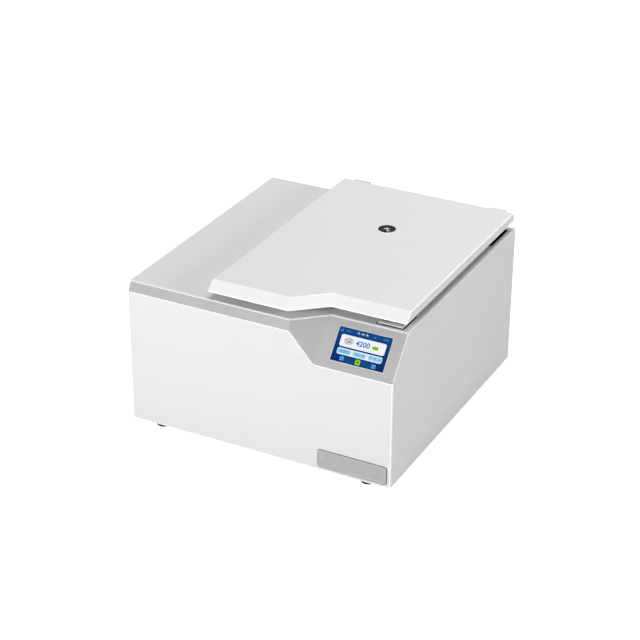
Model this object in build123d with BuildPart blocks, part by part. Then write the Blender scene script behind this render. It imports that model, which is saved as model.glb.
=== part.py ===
"""Refrigerated bench centrifuge with a swing-out rotor under a hinged lid.

Millimetres. +Z is up and the front of the casing faces -Y. The origin is on the surface that the
feet stand on, under the middle of the overall box.
"""
import math
import os

from build123d import *

os.makedirs("parts", exist_ok=True)

# Clearances
seam = 0.3
running_fit = 0.05
swing_gap = 0.6

# Casing
body_width = 600.0
body_depth = 616.0
body_height = 318.0
sheet = 1.5
front_return = 4.0
ledge_width = 7.0
foot_height = 12.0
foot_radius = 18.0
foot_inset_x = 60.0
foot_inset_y = 27.0
foot_taper = 6.0
foot_stud_radius = 4.0
foot_stud_rise = 3.0
pan_sheet = 2.0
pan_flange = 22.0
pan_vent_length = 50.0
pan_vent_width = 6.0
pan_vent_pitch = 20.0
pan_vent_count = 6
partition_front_inset = 40.0
partition_back_inset = 30.0
partition_flange = 20.0

# Top cover over a front trim: a narrow bevelled band on the left, a sloping console on the right,
# and a facet between them
cover_wall = 2.5
band_drop = 20.4
band_setback = 12.4
console_drop = 81.2
console_setback = 69.2
console_front_inset = 172.5
console_deck_inset = 167.0
facet_front_inset = 226.0
facet_blend = 9.0
cover_skirt = 10.0

# Chamber and refrigerated bowl
bowl_radius = 166.0
bowl_depth = 150.0
bowl_wall = 1.2
bowl_corner = 22.0
bowl_flange = 14.0
bowl_shaft_space = 6.0
boot_reach = 16.0
boot_height = 10.0
coil_tube = 8.0
coil_pitch = 15.0
coil_turns = 7
foam_thickness = 16.0
foam_side_space = 17.0
foam_back_space = 6.5
foam_bearing_space = 8.0
gasket_height = 7.0
gasket_width = 12.0
gasket_inset = 3.0

# Lid
lid_gap = 17.0
lid_thickness = 18.5
lid_wall = 2.0
lid_side_inset = 5.0
lid_back_inset = 0.5
lid_front_left = 11.0
lid_front_right = 68.0
lid_bevel = 22.0
lid_notch_left_inset = 234.0
lid_notch_right_inset = 167.0
lid_edge_radius = 1.6
lid_bend_radius = 14.0
lid_overcut = 0.01
plug_overhang = 6.0
plug_taper = 8.0
plug_edge_radius = 2.0

# Inspection port in the lid, a little to the left and front of the chamber's middle
port_left = 1.2
port_forward = 5.0
port_flange_radius = 19.0
port_glass_radius = 12.5
port_tube_wall = 2.0
port_rise = 1.6
port_glass_thickness = 3.0
port_glass_sink = 1.0

# Lid hinges on the back
hinge_offset = 7.0
hinge_drop = 7.5
hinge_barrel_radius = 6.5
hinge_pin_radius = 2.5
hinge_width = 36.0
hinge_middle = 14.0
hinge_leaf = 2.5
hinge_leaf_drop = 46.0
hinge_leaf_gap = 2.0
hinge_inset = 42.0
lid_open_deg = 75.0

# Gas struts that hold the lid up
strut_edge_inset = 21.0
strut_slot_width = 20.0
strut_slot_back = 14.0
strut_slot_length = 98.0
strut_radius = 7.5
strut_rod_radius = 4.0
strut_eye_radius = 7.0
strut_eye_width = 8.0
strut_stud_reach = 80.0
strut_stud_drop = 19.0
strut_foot_reach = 52.0
strut_foot_drop = 215.0
strut_barrel = 170.0
strut_bore_depth = 140.0
strut_rod_inside = 112.0
strut_neck_radius = 3.5
strut_neck_length = 6.0
strut_stud_radius = 3.0
strut_stud_plate = 3.0
strut_stud_foot = 14.0
strut_stud_length = 24.0
strut_cheek_length = 18.0
strut_cheek_drop = 5.0
strut_bracket_half = 14.0

# Swing-out rotor
pivot_depth = 52.0
rotor_radius = 118.0
rotor_above = 10.0
rotor_below = 14.0
rotor_web = 50.0
hub_radius = 24.0
hub_below = 44.0
shaft_radius = 8.0
bucket_radius = 30.0
bucket_wall = 2.0
bucket_above = 12.0
bucket_edge_radius = 6.0
bucket_swing_space = 4.5
ear_thickness = 4.7
ear_width = 18.0
trunnion_radius = 4.0
trunnion_length = 6.0
nut_radius = 17.0
nut_height = 18.0
nut_grip_radius = 3.0
nut_grip_count = 8
nut_edge = 1.2
collar_height = 6.0
collar_rim = 4.0

# Drive
motor_radius = 62.0
motor_height = 104.0
motor_wall = 4.0
motor_top_space = 12.0
motor_plate_thickness = 5.0
damper_radius = 12.0
bearing_radius = 16.0
bearing_height = 9.0
core_radius = 32.0
core_inset = 2.0
winding_space = 6.0
motor_rib_count = 24
motor_rib_width = 1.6
motor_rib_rise = 3.0
shaft_hole_space = 3.0
bearing_rest = 2.0

# Console display
screen_width = 115.0
screen_height = 70.0
screen_right_inset = 84.5
bezel_rim = 2.0
bezel_rise = 0.6
display_depth = 9.0
board_thickness = 1.6
board_space = 6.0
board_post_radius = 2.5
board_post_inset = 6.0
chip_height = 4.0

# Lid lock at the front right of the deck
lock_right_inset = 44.5
lock_front_inset = 106.5
lock_plate_width = 56.0
lock_plate_length = 58.0
lock_plate_rise = 2.2
lock_pad_rise = 1.0
lock_slot_width = 9.0
lock_slot_length = 32.0
hook_thickness = 3.0
hook_width = 16.0
hook_reach = 24.0
hook_eye = 12.0
bolt_radius = 3.5
bolt_length = 26.0
lock_body_width = 46.0
lock_body_height = 38.0
lock_body_wall = 3.0
lock_pad_rim = 1.2
lock_corner = 1.5
lock_edge = 0.5
hook_foot_length = 24.0
hook_foot_width = 20.0
hook_foot_thickness = 2.0
hook_eye_below = 4.0
bolt_point = 1.0
bolt_start = 3.0

# Badge place, left bare
badge_width = 153.0
badge_height = 40.0
badge_thickness = 2.0
badge_right_inset = 7.5
badge_lift = 7.3
badge_corner = 6.0
badge_edge = 0.8

# Refrigeration bay on the left
wall_space = 7.0
compressor_side_space = 28.7
compressor_height = 158.0
compressor_lift = 16.0
compressor_back = 150.0
compressor_seam_rise = 2.5
compressor_seam_height = 3.0
compressor_foot_sheet = 3.0
terminal_reach = 14.0
terminal_half = 20.0
stub_wall = 1.5
stub_rise = 5.0
condenser_length = 210.0
condenser_height = 210.0
condenser_thickness = 44.0
condenser_lift = 12.0
condenser_front = 50.0
condenser_gap = 6.0
condenser_plate = 2.0
condenser_tube = 4.5
condenser_rows = 6
condenser_bend = 6.0
fin_margin = 15.0
fin_pitch = 9.0
fin_thickness = 0.8
fan_size = 172.0
fan_depth = 36.0
fan_hub_radius = 24.0
fan_blade_count = 7
fan_shaft_radius = 3.0
fan_rim = 4.0
fan_corner = 8.0
fan_gap = 2.0
fan_spoke_width = 6.0
fan_spoke_depth = 5.0
fan_screw_radius = 2.5
fan_screw_inset = 7.0
fan_tip_gap = 4.0
fan_hub_inset = 6.0
fan_blade_thickness = 2.0
pipe_radius = 4.0
capillary_radius = 2.5
drier_radius = 10.0
drier_length = 70.0
drier_port_rise = 42.0
discharge_rise = 24.0
capillary_rise = 24.0
suction_rise = 14.0

# Drive electronics
rack_width = 180.0
rack_depth = 60.0
rack_height = 96.0
rack_sheet = 2.0
rack_front_inset = 50.0
sink_fin_count = 8
sink_fin_pitch = 9.0
sink_fin_thickness = 2.0
sink_fin_depth = 20.0
sink_height = 64.0
sink_plate = 4.0
sink_inset = 14.0
capacitor_radius = 11.0
capacitor_length = 30.0
capacitor_pitch = 30.0
capacitor_inset = 35.0

# Mains inlet and power switch on the rear panel
socket_width = 24.5
socket_height = 17.0
socket_depth = 18.0
socket_side_wall = 8.0
socket_wall = 2.0
socket_floor = 3.0
inlet_corner = 3.0
inlet_rim = 4.5
inlet_rim_top = 3.5
inlet_rise = 2.5
blade_width = 2.0
blade_height = 4.0
blade_spread = 7.0
blade_low = -2.0
blade_high = 3.0
blade_recess = 4.5
inlet_lift = 60.0
switch_width = 22.0
switch_height = 30.0
switch_rim = 2.5
switch_gap = 58.0
switch_corner = 2.0
switch_rise = 2.0
switch_wall = 2.0
switch_depth = 16.0
switch_floor = 3.0
rocker_tilt = 7.0
rocker_pin_radius = 1.6
rocker_pivot_depth = 5.0
rocker_space = 1.4
rocker_front = 8.0
rocker_back = 4.0
rocker_dip = 2.0

# Side and rear vents
louvre_length = 70.0
louvre_height = 4.0
louvre_pitch = 11.0
louvre_rows = 16
louvre_columns = 2
grille_rows = 12
grille_side_space = 19.7
screw_radius = 4.2
screw_height = 1.8
screw_slot = 1.2
screw_inset = 14.0

# Levels and main places
hinge_reach = hinge_offset + hinge_barrel_radius
inlet_body_width = socket_width + 2 * socket_side_wall
inlet_body_height = socket_height + 2 * socket_wall
inlet_width = inlet_body_width + 2 * inlet_rim
inlet_height = inlet_body_height + 2 * inlet_rim_top
y_front = badge_thickness - (badge_thickness + body_depth + hinge_reach) / 2
y_back = y_front + body_depth
x_right = body_width / 2
x_left = -x_right
x_inside = x_right - sheet
z_case = foot_height
z_deck = z_case + body_height
z_under_deck = z_deck - cover_wall
z_band = z_deck - band_drop
z_console = z_deck - console_drop
z_pan = z_case + pan_sheet

bowl_outer = bowl_radius + bowl_wall
coil_radius = bowl_outer + seam + coil_tube / 2
foam_inner = coil_radius + coil_tube / 2 + seam
foam_outer = foam_inner + foam_thickness
chamber_x = x_inside - foam_side_space - foam_outer
chamber_y = y_back - sheet - foam_back_space - foam_outer
z_bowl_top = z_under_deck - seam
z_bowl_floor = z_deck - bowl_depth
z_foam_bottom = z_bowl_floor - bowl_wall - foam_thickness

lid_right = x_right - lid_side_inset
lid_left = 2 * chamber_x - lid_right
lid_back = y_back - lid_back_inset
z_lid = z_deck + lid_gap
z_lid_top = z_lid + lid_thickness

port_x = chamber_x - port_left
port_y = chamber_y - port_forward

hinge_y = y_back + hinge_offset
hinge_z = z_lid_top - hinge_drop
hinge_places = (lid_left + hinge_inset, lid_right - hinge_inset)

z_pivot = z_deck - pivot_depth
pivot_radius = rotor_web + math.hypot(bucket_radius, bucket_above) + 3 * swing_gap
bucket_reach = math.sqrt((bowl_radius - bucket_swing_space) ** 2 - bucket_radius**2)
bucket_below = bucket_reach - pivot_radius
partition_x = chamber_x - foam_outer - wall_space
z_coil = z_bowl_floor + bowl_corner + coil_tube
coil_exit = 2.5 * coil_tube
coil_gate = coil_tube / 2 + 2 * seam
coil_rise = coil_pitch * (coil_tube + coil_exit) / (math.tau * coil_radius)
coil_gates = (
    (chamber_y + coil_tube + coil_exit, z_coil - coil_rise),
    (chamber_y - coil_tube - coil_exit, z_coil + coil_pitch * coil_turns + coil_rise),
)
coil_stub_x = partition_x - sheet - coil_tube


def front_plane(y):
    """A plane facing the front (-Y) at depth y, with X to the right and Z up."""
    return Plane(origin=(0, y, 0), x_dir=(1, 0, 0), z_dir=(0, -1, 0))


def back_plane(y):
    """A plane facing the back (+Y) at depth y, with X to the left and Z up."""
    return Plane(origin=(0, y, 0), x_dir=(-1, 0, 0), z_dir=(0, 1, 0))


def side_plane(x):
    """A plane facing the right (+X) at x, with Y along its own x and Z up."""
    return Plane(origin=(x, 0, 0), x_dir=(0, 1, 0), z_dir=(1, 0, 0))


def box_between(low, high, mode=Mode.ADD):
    """A box in the current part between two opposite corners."""
    middle = tuple((a + b) / 2 for a, b in zip(low, high))
    with Locations(middle):
        Box(*(b - a for a, b in zip(low, high)), mode=mode)


def rod_between(start, end, radius, mode=Mode.ADD):
    """A round rod in the current part from start to end."""
    low = Vector(*start)
    way = Vector(*end) - low
    with Locations(Plane(origin=low + way / 2, z_dir=way).location):
        Cylinder(radius, way.length, mode=mode)


def pipe_route(points, radius):
    """The centre line of a pipe through the points, with an arc at each corner."""
    corners = [Vector(*point) for point in points]
    radii = []
    for before, here, after in zip(corners, corners[1:], corners[2:]):
        arriving = here - before
        leaving = after - here
        turn = math.radians(arriving.get_angle(leaving))
        shorter = min(arriving.length, leaving.length)
        radii.append(min(0.45 * shorter / math.tan(turn / 2), 8 * radius))
    print("pipe bend radii", [round(bend, 1) for bend in radii])
    return FilletPolyline(*corners, radius=radii)


def lid_outline(side, front):
    """Corners of the lid in plan, moved in by side at the sides and back and by front in front."""
    left_bend = Vector(x_right - lid_notch_left_inset, y_front + lid_front_left)
    right_bend = Vector(x_right - lid_notch_right_inset, y_front + lid_front_right)
    along = (right_bend - left_bend).normalized()
    inward = Vector(-along.Y, along.X)
    shift = inward * front + along * (front * (1 - inward.Y) / along.Y)
    return [
        (lid_left + side, left_bend.Y + front),
        (left_bend.X + shift.X, left_bend.Y + shift.Y),
        (right_bend.X + shift.X, right_bend.Y + shift.Y),
        (lid_right - side, right_bend.Y + front),
        (lid_right - side, lid_back - side),
        (lid_left + side, lid_back - side),
    ]


# Slanted planes at the front of the top cover
facet_foot = Vector(x_right - console_front_inset, y_front, z_console)
facet_head = Vector(x_right - console_deck_inset, y_front + console_setback, z_deck)
facet_left = Vector(x_right - facet_front_inset, y_front, z_band)
facet_plane = Plane(origin=facet_foot, z_dir=(facet_head - facet_foot).cross(facet_left - facet_foot))
console_normal = Vector(0, -console_drop, console_setback).normalized()
screen_x = x_right - screen_right_inset
console_middle = Vector(screen_x, y_front + console_setback / 2, z_deck - console_drop / 2)
console_plane = Plane(origin=console_middle, x_dir=(1, 0, 0), z_dir=console_normal)

# Front outline that the top cover and the front panel share
border = [
    (x_left, z_case),
    (x_right, z_case),
    (x_right, z_console),
    (x_right - console_front_inset, z_console),
    (x_right - facet_front_inset, z_band),
    (x_left, z_band),
]


def front_outline(grow):
    """The front panel's face, with its upper border moved up by grow."""
    Polygon(*[(x, z + (grow if z > z_case else 0)) for x, z in border], align=None)
    bends = [v for v in vertices() if x_left + 1 < v.X < x_right - 1]
    fillet(bends, radius=facet_blend)


# Casing
with BuildPart() as console_wedge:
    rise = console_drop / console_setback
    with BuildSketch(side_plane(facet_left.X - body_width / 2)):
        with BuildLine():
            reach = console_setback
            Polyline(
                (y_front - reach, z_console - reach * rise),
                (y_front + 2 * console_setback, z_deck + console_drop),
                (y_front - reach, z_deck + console_drop),
                close=True,
            )
        make_face()
    extrude(amount=2 * body_width)
    split(bisect_by=facet_plane, keep=Keep.TOP)

with BuildPart() as cover_block:
    with BuildSketch(Plane.YZ):
        with BuildLine():
            Polyline(
                (y_front, z_console - cover_skirt),
                (y_front, z_band),
                (y_front + band_setback, z_deck),
                (y_back - sheet - seam, z_deck),
                (y_back - sheet - seam, z_console - cover_skirt),
                close=True,
            )
        make_face()
    extrude(amount=x_inside - seam, both=True)
    add(console_wedge.part, mode=Mode.SUBTRACT)
    inner_bend = edges().sort_by_distance((facet_foot + facet_head) / 2)[0]
    fillet(inner_bend, radius=facet_blend)
    band_bend = edges().sort_by_distance((facet_left + Vector(0, band_setback, z_deck - z_band) / 2))[0]
    fillet(band_bend, radius=facet_blend)

skirt_back = sheet + seam + cover_wall
cover_inside = cover_block.part.moved(Location((0, skirt_back, -cover_wall)))

strut_places = (2 * chamber_x - x_right + strut_edge_inset, x_right - strut_edge_inset)
slot_y = y_back - strut_slot_back - strut_slot_length / 2
lock_x = x_right - lock_right_inset
lock_y = y_front + lock_front_inset

with BuildPart() as top_cover:
    add(cover_block.part)
    split(bisect_by=Plane.XY.offset(z_under_deck), keep=Keep.TOP)
    with BuildSketch(Plane.XY.offset(z_under_deck - 1)):
        with Locations((chamber_x, chamber_y)):
            Circle(bowl_radius + bowl_wall)
        with Locations(*[(x, slot_y) for x in strut_places]):
            SlotOverall(strut_slot_length, strut_slot_width, rotation=90)
        with Locations((lock_x, lock_y)):
            SlotOverall(lock_slot_length, lock_slot_width, rotation=90)
    extrude(amount=cover_wall + 2, mode=Mode.SUBTRACT)

with BuildPart() as front_trim:
    add(cover_block.part)
    add(cover_inside, mode=Mode.SUBTRACT)
    split(bisect_by=Plane.XY.offset(z_under_deck), keep=Keep.BOTTOM)
    with BuildSketch(front_plane(y_front + sheet + seam)):
        front_outline(seam)
    extrude(amount=2 * sheet, mode=Mode.SUBTRACT)
    with BuildSketch(console_plane.offset(cover_wall)):
        Rectangle(screen_width + 2 * seam, screen_height + 2 * seam)
    extrude(amount=-4 * cover_wall - sheet, mode=Mode.SUBTRACT)

with BuildPart() as front_panel:
    with BuildSketch(front_plane(y_front + sheet)):
        front_outline(-seam)
    extrude(amount=sheet)
    for side, top in ((x_left, z_band - seam), (x_right - sheet, z_console - seam)):
        box_between((side, y_front + sheet, z_case), (side + sheet, y_front + front_return, top))
    corners = edges().filter_by(Axis.Z).sort_by_distance((0, y_front, z_case))
    outer = [e for e in corners if abs(abs(e.center().X) - x_right) < 0.01 and e.center().Y < y_front + 0.01]
    fillet(outer, radius=sheet * 0.9)


def side_outline(setback, top_z):
    """A side panel's face on a side plane: straight, with its front top corner cut off."""
    start = y_front + front_return + seam
    rise_per_depth = (z_deck - top_z) / setback
    Polygon(
        (start, z_case),
        (y_back, z_case),
        (y_back, z_deck),
        (y_front + setback, z_deck),
        (start, top_z + (start - y_front) * rise_per_depth),
        align=None,
    )


with BuildPart() as right_side_panel:
    with BuildSketch(side_plane(x_inside)):
        side_outline(console_setback, z_console)
    extrude(amount=sheet)
    box_between(
        (x_inside - ledge_width, y_front + console_setback + 2 * cover_wall, z_under_deck - seam - sheet),
        (x_inside, y_back - sheet - seam, z_under_deck - seam),
    )

condenser_y = y_front + condenser_front + condenser_length / 2
condenser_z = z_pan + condenser_lift + condenser_height / 2

with BuildPart() as left_side_panel:
    with BuildSketch(side_plane(-x_inside)):
        side_outline(band_setback, z_band)
    extrude(amount=-sheet)
    box_between(
        (-x_inside, y_front + band_setback + 4 * cover_wall, z_under_deck - seam - sheet),
        (-x_inside + ledge_width, y_back - sheet - seam, z_under_deck - seam),
    )
    with BuildSketch(side_plane(-x_inside + 1)):
        with Locations((condenser_y, condenser_z)):
            with GridLocations(louvre_length + 12, louvre_pitch, louvre_columns, louvre_rows):
                SlotOverall(louvre_length, louvre_height)
    extrude(amount=-sheet - 2, mode=Mode.SUBTRACT)

bay_right = partition_x - partition_flange
bay_middle = (bay_right - x_inside) / 2
sockets_width = inlet_width / 2 + switch_gap + switch_width / 2 + switch_rim
inlet_x = bay_middle - sockets_width / 2 + inlet_width / 2
inlet_z = z_case + inlet_lift
switch_x = inlet_x + switch_gap
grille_x = bay_middle
grille_length = bay_right + x_inside - 2 * grille_side_space
compressor_x = (partition_x - x_inside) / 2
compressor_radius = (partition_x + x_inside) / 2 - compressor_side_space
compressor_y = y_back - compressor_back
z_grille = z_deck - 110.0

with BuildPart() as rear_panel:
    box_between(
        (-x_inside + seam, y_back - sheet, z_case),
        (x_inside - seam, y_back, z_deck),
    )
    with BuildSketch(back_plane(y_back + 1)):
        with Locations((-grille_x, z_grille)):
            with GridLocations(1, louvre_pitch, 1, grille_rows):
                SlotOverall(grille_length, louvre_height)
        with Locations((-inlet_x, inlet_z)):
            Rectangle(inlet_body_width + 2 * seam, inlet_body_height + 2 * seam)
        with Locations((-switch_x, inlet_z)):
            Rectangle(switch_width + 2 * seam, switch_height + 2 * seam)
    extrude(amount=-sheet - 2, mode=Mode.SUBTRACT)

pan_left = -x_inside + seam
pan_right = x_inside - seam
pan_front = y_front + front_return + seam
pan_back = y_back - sheet - seam
foot_spots = [
    (x, y)
    for x in (x_left + foot_inset_x, x_right - foot_inset_x)
    for y in (y_front + foot_inset_y, y_back - foot_inset_y)
]

with BuildPart() as base_pan:
    box_between((pan_left, pan_front, z_case), (pan_right, pan_back, z_case + pan_flange))
    box_between(
        (pan_left + pan_sheet, pan_front + pan_sheet, z_pan),
        (pan_right - pan_sheet, pan_back - pan_sheet, z_case + pan_flange + 1),
        mode=Mode.SUBTRACT,
    )
    with BuildSketch(Plane.XY.offset(z_case - 1)):
        with Locations(*foot_spots):
            Circle(foot_stud_radius)
        with Locations((compressor_x, compressor_y - 2 * compressor_radius)):
            with GridLocations(pan_vent_pitch, 1, pan_vent_count, 1):
                SlotOverall(pan_vent_length, pan_vent_width, rotation=90)
    extrude(amount=pan_sheet + 2, mode=Mode.SUBTRACT)

with BuildPart() as rubber_feet:
    for x, y in foot_spots:
        with BuildSketch(Plane.XY.offset(z_case)):
            with Locations((x, y)):
                Circle(foot_radius)
        extrude(amount=-foot_height, taper=foot_taper)
        rod_between((x, y, z_case), (x, y, z_pan + foot_stud_rise), foot_stud_radius - seam)

partition_front = pan_front + partition_front_inset

with BuildPart() as partition_wall:
    box_between(
        (partition_x - sheet, partition_front, z_pan),
        (partition_x, pan_back - pan_sheet - seam, z_under_deck - seam),
    )
    box_between(
        (partition_x - partition_flange, partition_front, z_pan),
        (partition_x - sheet, pan_back - partition_back_inset, z_pan + sheet),
    )
    for y, z in coil_gates:
        rod_between(
            (partition_x - 2 * sheet, y, z),
            (partition_x + sheet, y, z),
            coil_gate,
            mode=Mode.SUBTRACT,
        )

# Chamber
bowl_bore = shaft_radius + bowl_shaft_space

with BuildPart() as chamber_bowl:
    with BuildSketch(Plane.XZ):
        with BuildLine():
            Polyline(
                (bowl_bore, z_bowl_floor - bowl_wall),
                (bowl_outer, z_bowl_floor - bowl_wall),
                (bowl_outer, z_bowl_top - bowl_wall),
                (bowl_outer + bowl_flange, z_bowl_top - bowl_wall),
                (bowl_outer + bowl_flange, z_bowl_top),
                (bowl_radius, z_bowl_top),
                (bowl_radius, z_bowl_floor),
                (bowl_bore, z_bowl_floor),
                close=True,
            )
        make_face()
        floor_corners = vertices().group_by(Axis.Y)[0].sort_by(Axis.X)[-1:]
        fillet(floor_corners, radius=bowl_corner + bowl_wall)
        inner_corner = vertices().sort_by_distance((bowl_radius, z_bowl_floor, 0))[0]
        fillet(inner_corner, radius=bowl_corner)
    revolve(axis=Axis.Z)
chamber_bowl.part.position = (chamber_x, chamber_y, 0)

z_foam_top = z_bowl_top - bowl_wall - seam

with BuildPart() as chamber_insulation:
    with BuildSketch(Plane.XY.offset(z_foam_bottom)):
        with Locations((chamber_x, chamber_y)):
            Circle(foam_outer)
    extrude(amount=z_foam_top - z_foam_bottom)
    with BuildSketch(Plane.XY.offset(z_bowl_floor - bowl_wall - seam)):
        with Locations((chamber_x, chamber_y)):
            Circle(foam_inner)
    extrude(amount=bowl_depth, mode=Mode.SUBTRACT)
    with BuildSketch(Plane.XY.offset(z_foam_bottom - 1)):
        with Locations((chamber_x, chamber_y)):
            Circle(bearing_radius + foam_bearing_space)
    extrude(amount=foam_thickness + 2, mode=Mode.SUBTRACT)
    for y, z in coil_gates:
        edge = y + math.copysign(coil_tube / 2 + seam, y - chamber_y)
        box_between(
            (chamber_x - foam_outer - seam, min(edge, chamber_y), z - coil_gate),
            (chamber_x - foam_inner + coil_tube / 2, max(edge, chamber_y), z + coil_gate),
            mode=Mode.SUBTRACT,
        )


def helix_point(turn):
    """A point on the evaporator's helix, and its direction, after so many turns."""
    angle = math.tau * turn + math.pi
    place = Vector(
        chamber_x + coil_radius * math.cos(angle),
        chamber_y + coil_radius * math.sin(angle),
        z_coil + coil_pitch * turn,
    )
    way = Vector(-math.sin(angle), math.cos(angle), coil_pitch / (math.tau * coil_radius)).normalized()
    return place, way


with BuildPart() as evaporator_coil:
    with BuildLine() as coil_route:
        for quarter in range(4 * coil_turns):
            start, start_way = helix_point(quarter / 4)
            end, end_way = helix_point((quarter + 1) / 4)
            chord = end - start
            both = start_way + end_way
            spread = 2 * (1 - start_way.dot(end_way))
            push = (math.sqrt(chord.dot(both) ** 2 + spread * chord.dot(chord)) - chord.dot(both)) / spread
            middle = (start + start_way * push + end - end_way * push) / 2
            middle_way = (end - end_way * push - start - start_way * push).normalized()
            TangentArc(start, middle, tangent=start_way)
            TangentArc(middle, end, tangent=middle_way)
        first, first_way = helix_point(0)
        last, last_way = helix_point(coil_turns)
        for place, way in ((first, first_way * -1), (last, last_way)):
            straight = place + way * coil_tube
            bent = straight + way * coil_exit - Vector(coil_exit, 0, 0)
            Line(place, straight)
            TangentArc(straight, bent, tangent=way)
            Line(bent, Vector(coil_stub_x, bent.Y, bent.Z))
    with BuildSketch(Plane(origin=coil_route.line @ 0, z_dir=coil_route.line % 0)):
        Circle(coil_tube / 2)
    sweep(path=coil_route.line)
steps = 24
coil_points = [helix_point(step / steps)[0] for step in range(steps * coil_turns)]
least = min(
    (a - b).length - coil_tube
    for n, a in enumerate(coil_points)
    for b in coil_points[n + steps - 4:]
)
print("evaporator coil, least gap between its loops", round(least, 2))

with BuildPart() as chamber_gasket:
    with BuildSketch(Plane.XZ):
        inner = bowl_outer + gasket_inset
        with BuildLine():
            Polyline(
                (inner, z_deck + seam),
                (inner + gasket_width, z_deck + seam),
                (inner + gasket_width, z_deck + gasket_height * 0.5),
                (inner + gasket_width * 0.7, z_deck + gasket_height),
                (inner + gasket_width * 0.3, z_deck + gasket_height),
                (inner, z_deck + gasket_height * 0.5),
                close=True,
            )
        make_face()
    revolve(axis=Axis.Z)
chamber_gasket.part.position = (chamber_x, chamber_y, 0)

# Lid
with BuildPart() as lid_shell:
    for level, front in ((0, 0), (lid_thickness, lid_bevel)):
        with BuildSketch(Plane.XY.offset(level)):
            with BuildLine():
                outline = lid_outline(0, front)
                FilletPolyline(*outline[:4], radius=lid_bend_radius)
                Polyline(*outline[3:], outline[0])
            make_face()
    loft(ruled=True)
    rim = edges().group_by(Axis.Z)[-1]
    fillet(rim, radius=lid_edge_radius)
    for level, front in ((-lid_overcut, lid_wall), (lid_thickness - lid_wall, lid_bevel + lid_wall)):
        with BuildSketch(Plane.XY.offset(level)):
            with BuildLine():
                outline = lid_outline(lid_wall, front)
                FilletPolyline(*outline[:4], radius=lid_bend_radius)
                Polyline(*outline[3:], outline[0])
            make_face()
    loft(ruled=True, mode=Mode.SUBTRACT)
    with Locations((port_x, port_y, lid_thickness - lid_wall)):
        Cylinder(port_glass_radius + port_tube_wall + seam, 4 * lid_wall, mode=Mode.SUBTRACT)
lid_shell.part.position = (0, 0, z_lid)

with BuildPart() as lid_base_plate:
    with BuildSketch(Plane.XY.offset(z_lid)):
        with BuildLine():
            outline = lid_outline(lid_wall + seam, lid_wall + 2 * seam + 2 * sheet)
            FilletPolyline(*outline[:4], radius=lid_bend_radius)
            Polyline(*outline[3:], outline[0])
        make_face()
        with Locations((port_x, port_y)):
            Circle(port_glass_radius + port_tube_wall + seam, mode=Mode.SUBTRACT)
    extrude(amount=sheet)

z_plug = z_deck + gasket_height + seam
plug_radius = bowl_outer + gasket_inset + gasket_width + plug_overhang

with BuildPart() as lid_plug:
    with BuildSketch(Plane.XY.offset(z_lid)):
        with Locations((chamber_x, chamber_y)):
            Circle(plug_radius)
    extrude(amount=z_plug - z_lid, taper=plug_taper)
    with Locations((port_x, port_y, z_lid)):
        Cylinder(port_glass_radius + port_tube_wall + seam, 4 * lid_gap, mode=Mode.SUBTRACT)
    bottom_rim = edges().group_by(Axis.Z)[0].sort_by(SortBy.LENGTH)[-1]
    fillet(bottom_rim, radius=plug_edge_radius)

port_bottom = z_plug + seam

with BuildPart() as port_bezel:
    with BuildSketch(Plane.XZ):
        with BuildLine():
            Polyline(
                (port_glass_radius, port_bottom),
                (port_glass_radius + port_tube_wall, port_bottom),
                (port_glass_radius + port_tube_wall, z_lid_top + seam),
                (port_flange_radius, z_lid_top + seam),
                (port_flange_radius, z_lid_top + port_rise * 0.5),
                (port_flange_radius - port_rise, z_lid_top + port_rise),
                (port_glass_radius + seam + port_rise, z_lid_top + port_rise),
                (port_glass_radius, z_lid_top),
                close=True,
            )
        make_face()
    revolve(axis=Axis.Z)
port_bezel.part.position = (port_x, port_y, 0)

with BuildPart() as port_windows:
    for top in (z_lid_top - port_glass_sink, port_bottom + port_glass_thickness):
        with BuildSketch(Plane.XY.offset(top)):
            with Locations((port_x, port_y)):
                Circle(port_glass_radius - running_fit)
        extrude(amount=-port_glass_thickness)

# Hinges
leaf_front = y_back + seam / 2

with BuildPart() as hinge_leaves:
    for x in hinge_places:
        half = hinge_middle / 2 - seam
        box_between(
            (x - hinge_width / 2, leaf_front, z_deck - hinge_leaf_drop),
            (x + hinge_width / 2, leaf_front + hinge_leaf, z_lid - hinge_leaf_gap),
        )
        box_between(
            (x - half, leaf_front, z_lid - hinge_leaf_gap),
            (x + half, leaf_front + hinge_leaf, hinge_z),
        )
        rod_between((x - half, hinge_y, hinge_z), (x + half, hinge_y, hinge_z), hinge_barrel_radius)
        rod_between(
            (x - half, hinge_y, hinge_z),
            (x + half, hinge_y, hinge_z),
            hinge_pin_radius + running_fit,
            mode=Mode.SUBTRACT,
        )

with BuildPart() as lid_knuckles:
    for x in hinge_places:
        for side in (-1, 1):
            near = x + side * hinge_middle / 2
            far = x + side * hinge_width / 2
            low, high = min(near, far), max(near, far)
            z_knuckle = z_lid + hinge_leaf_gap
            box_between(
                (low, lid_back + seam / 2, z_knuckle),
                (high, hinge_y, z_knuckle + hinge_leaf * 2),
            )
            box_between(
                (low, lid_back + seam / 2, z_knuckle),
                (high, lid_back + seam / 2 + hinge_leaf, hinge_z),
            )
            rod_between((low, hinge_y, hinge_z), (high, hinge_y, hinge_z), hinge_barrel_radius)
            rod_between(
                (low, hinge_y, hinge_z),
                (high, hinge_y, hinge_z),
                hinge_pin_radius + running_fit,
                mode=Mode.SUBTRACT,
            )

with BuildPart() as hinge_pins:
    for x in hinge_places:
        rod_between(
            (x - hinge_width / 2, hinge_y, hinge_z),
            (x + hinge_width / 2, hinge_y, hinge_z),
            hinge_pin_radius,
        )

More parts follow.
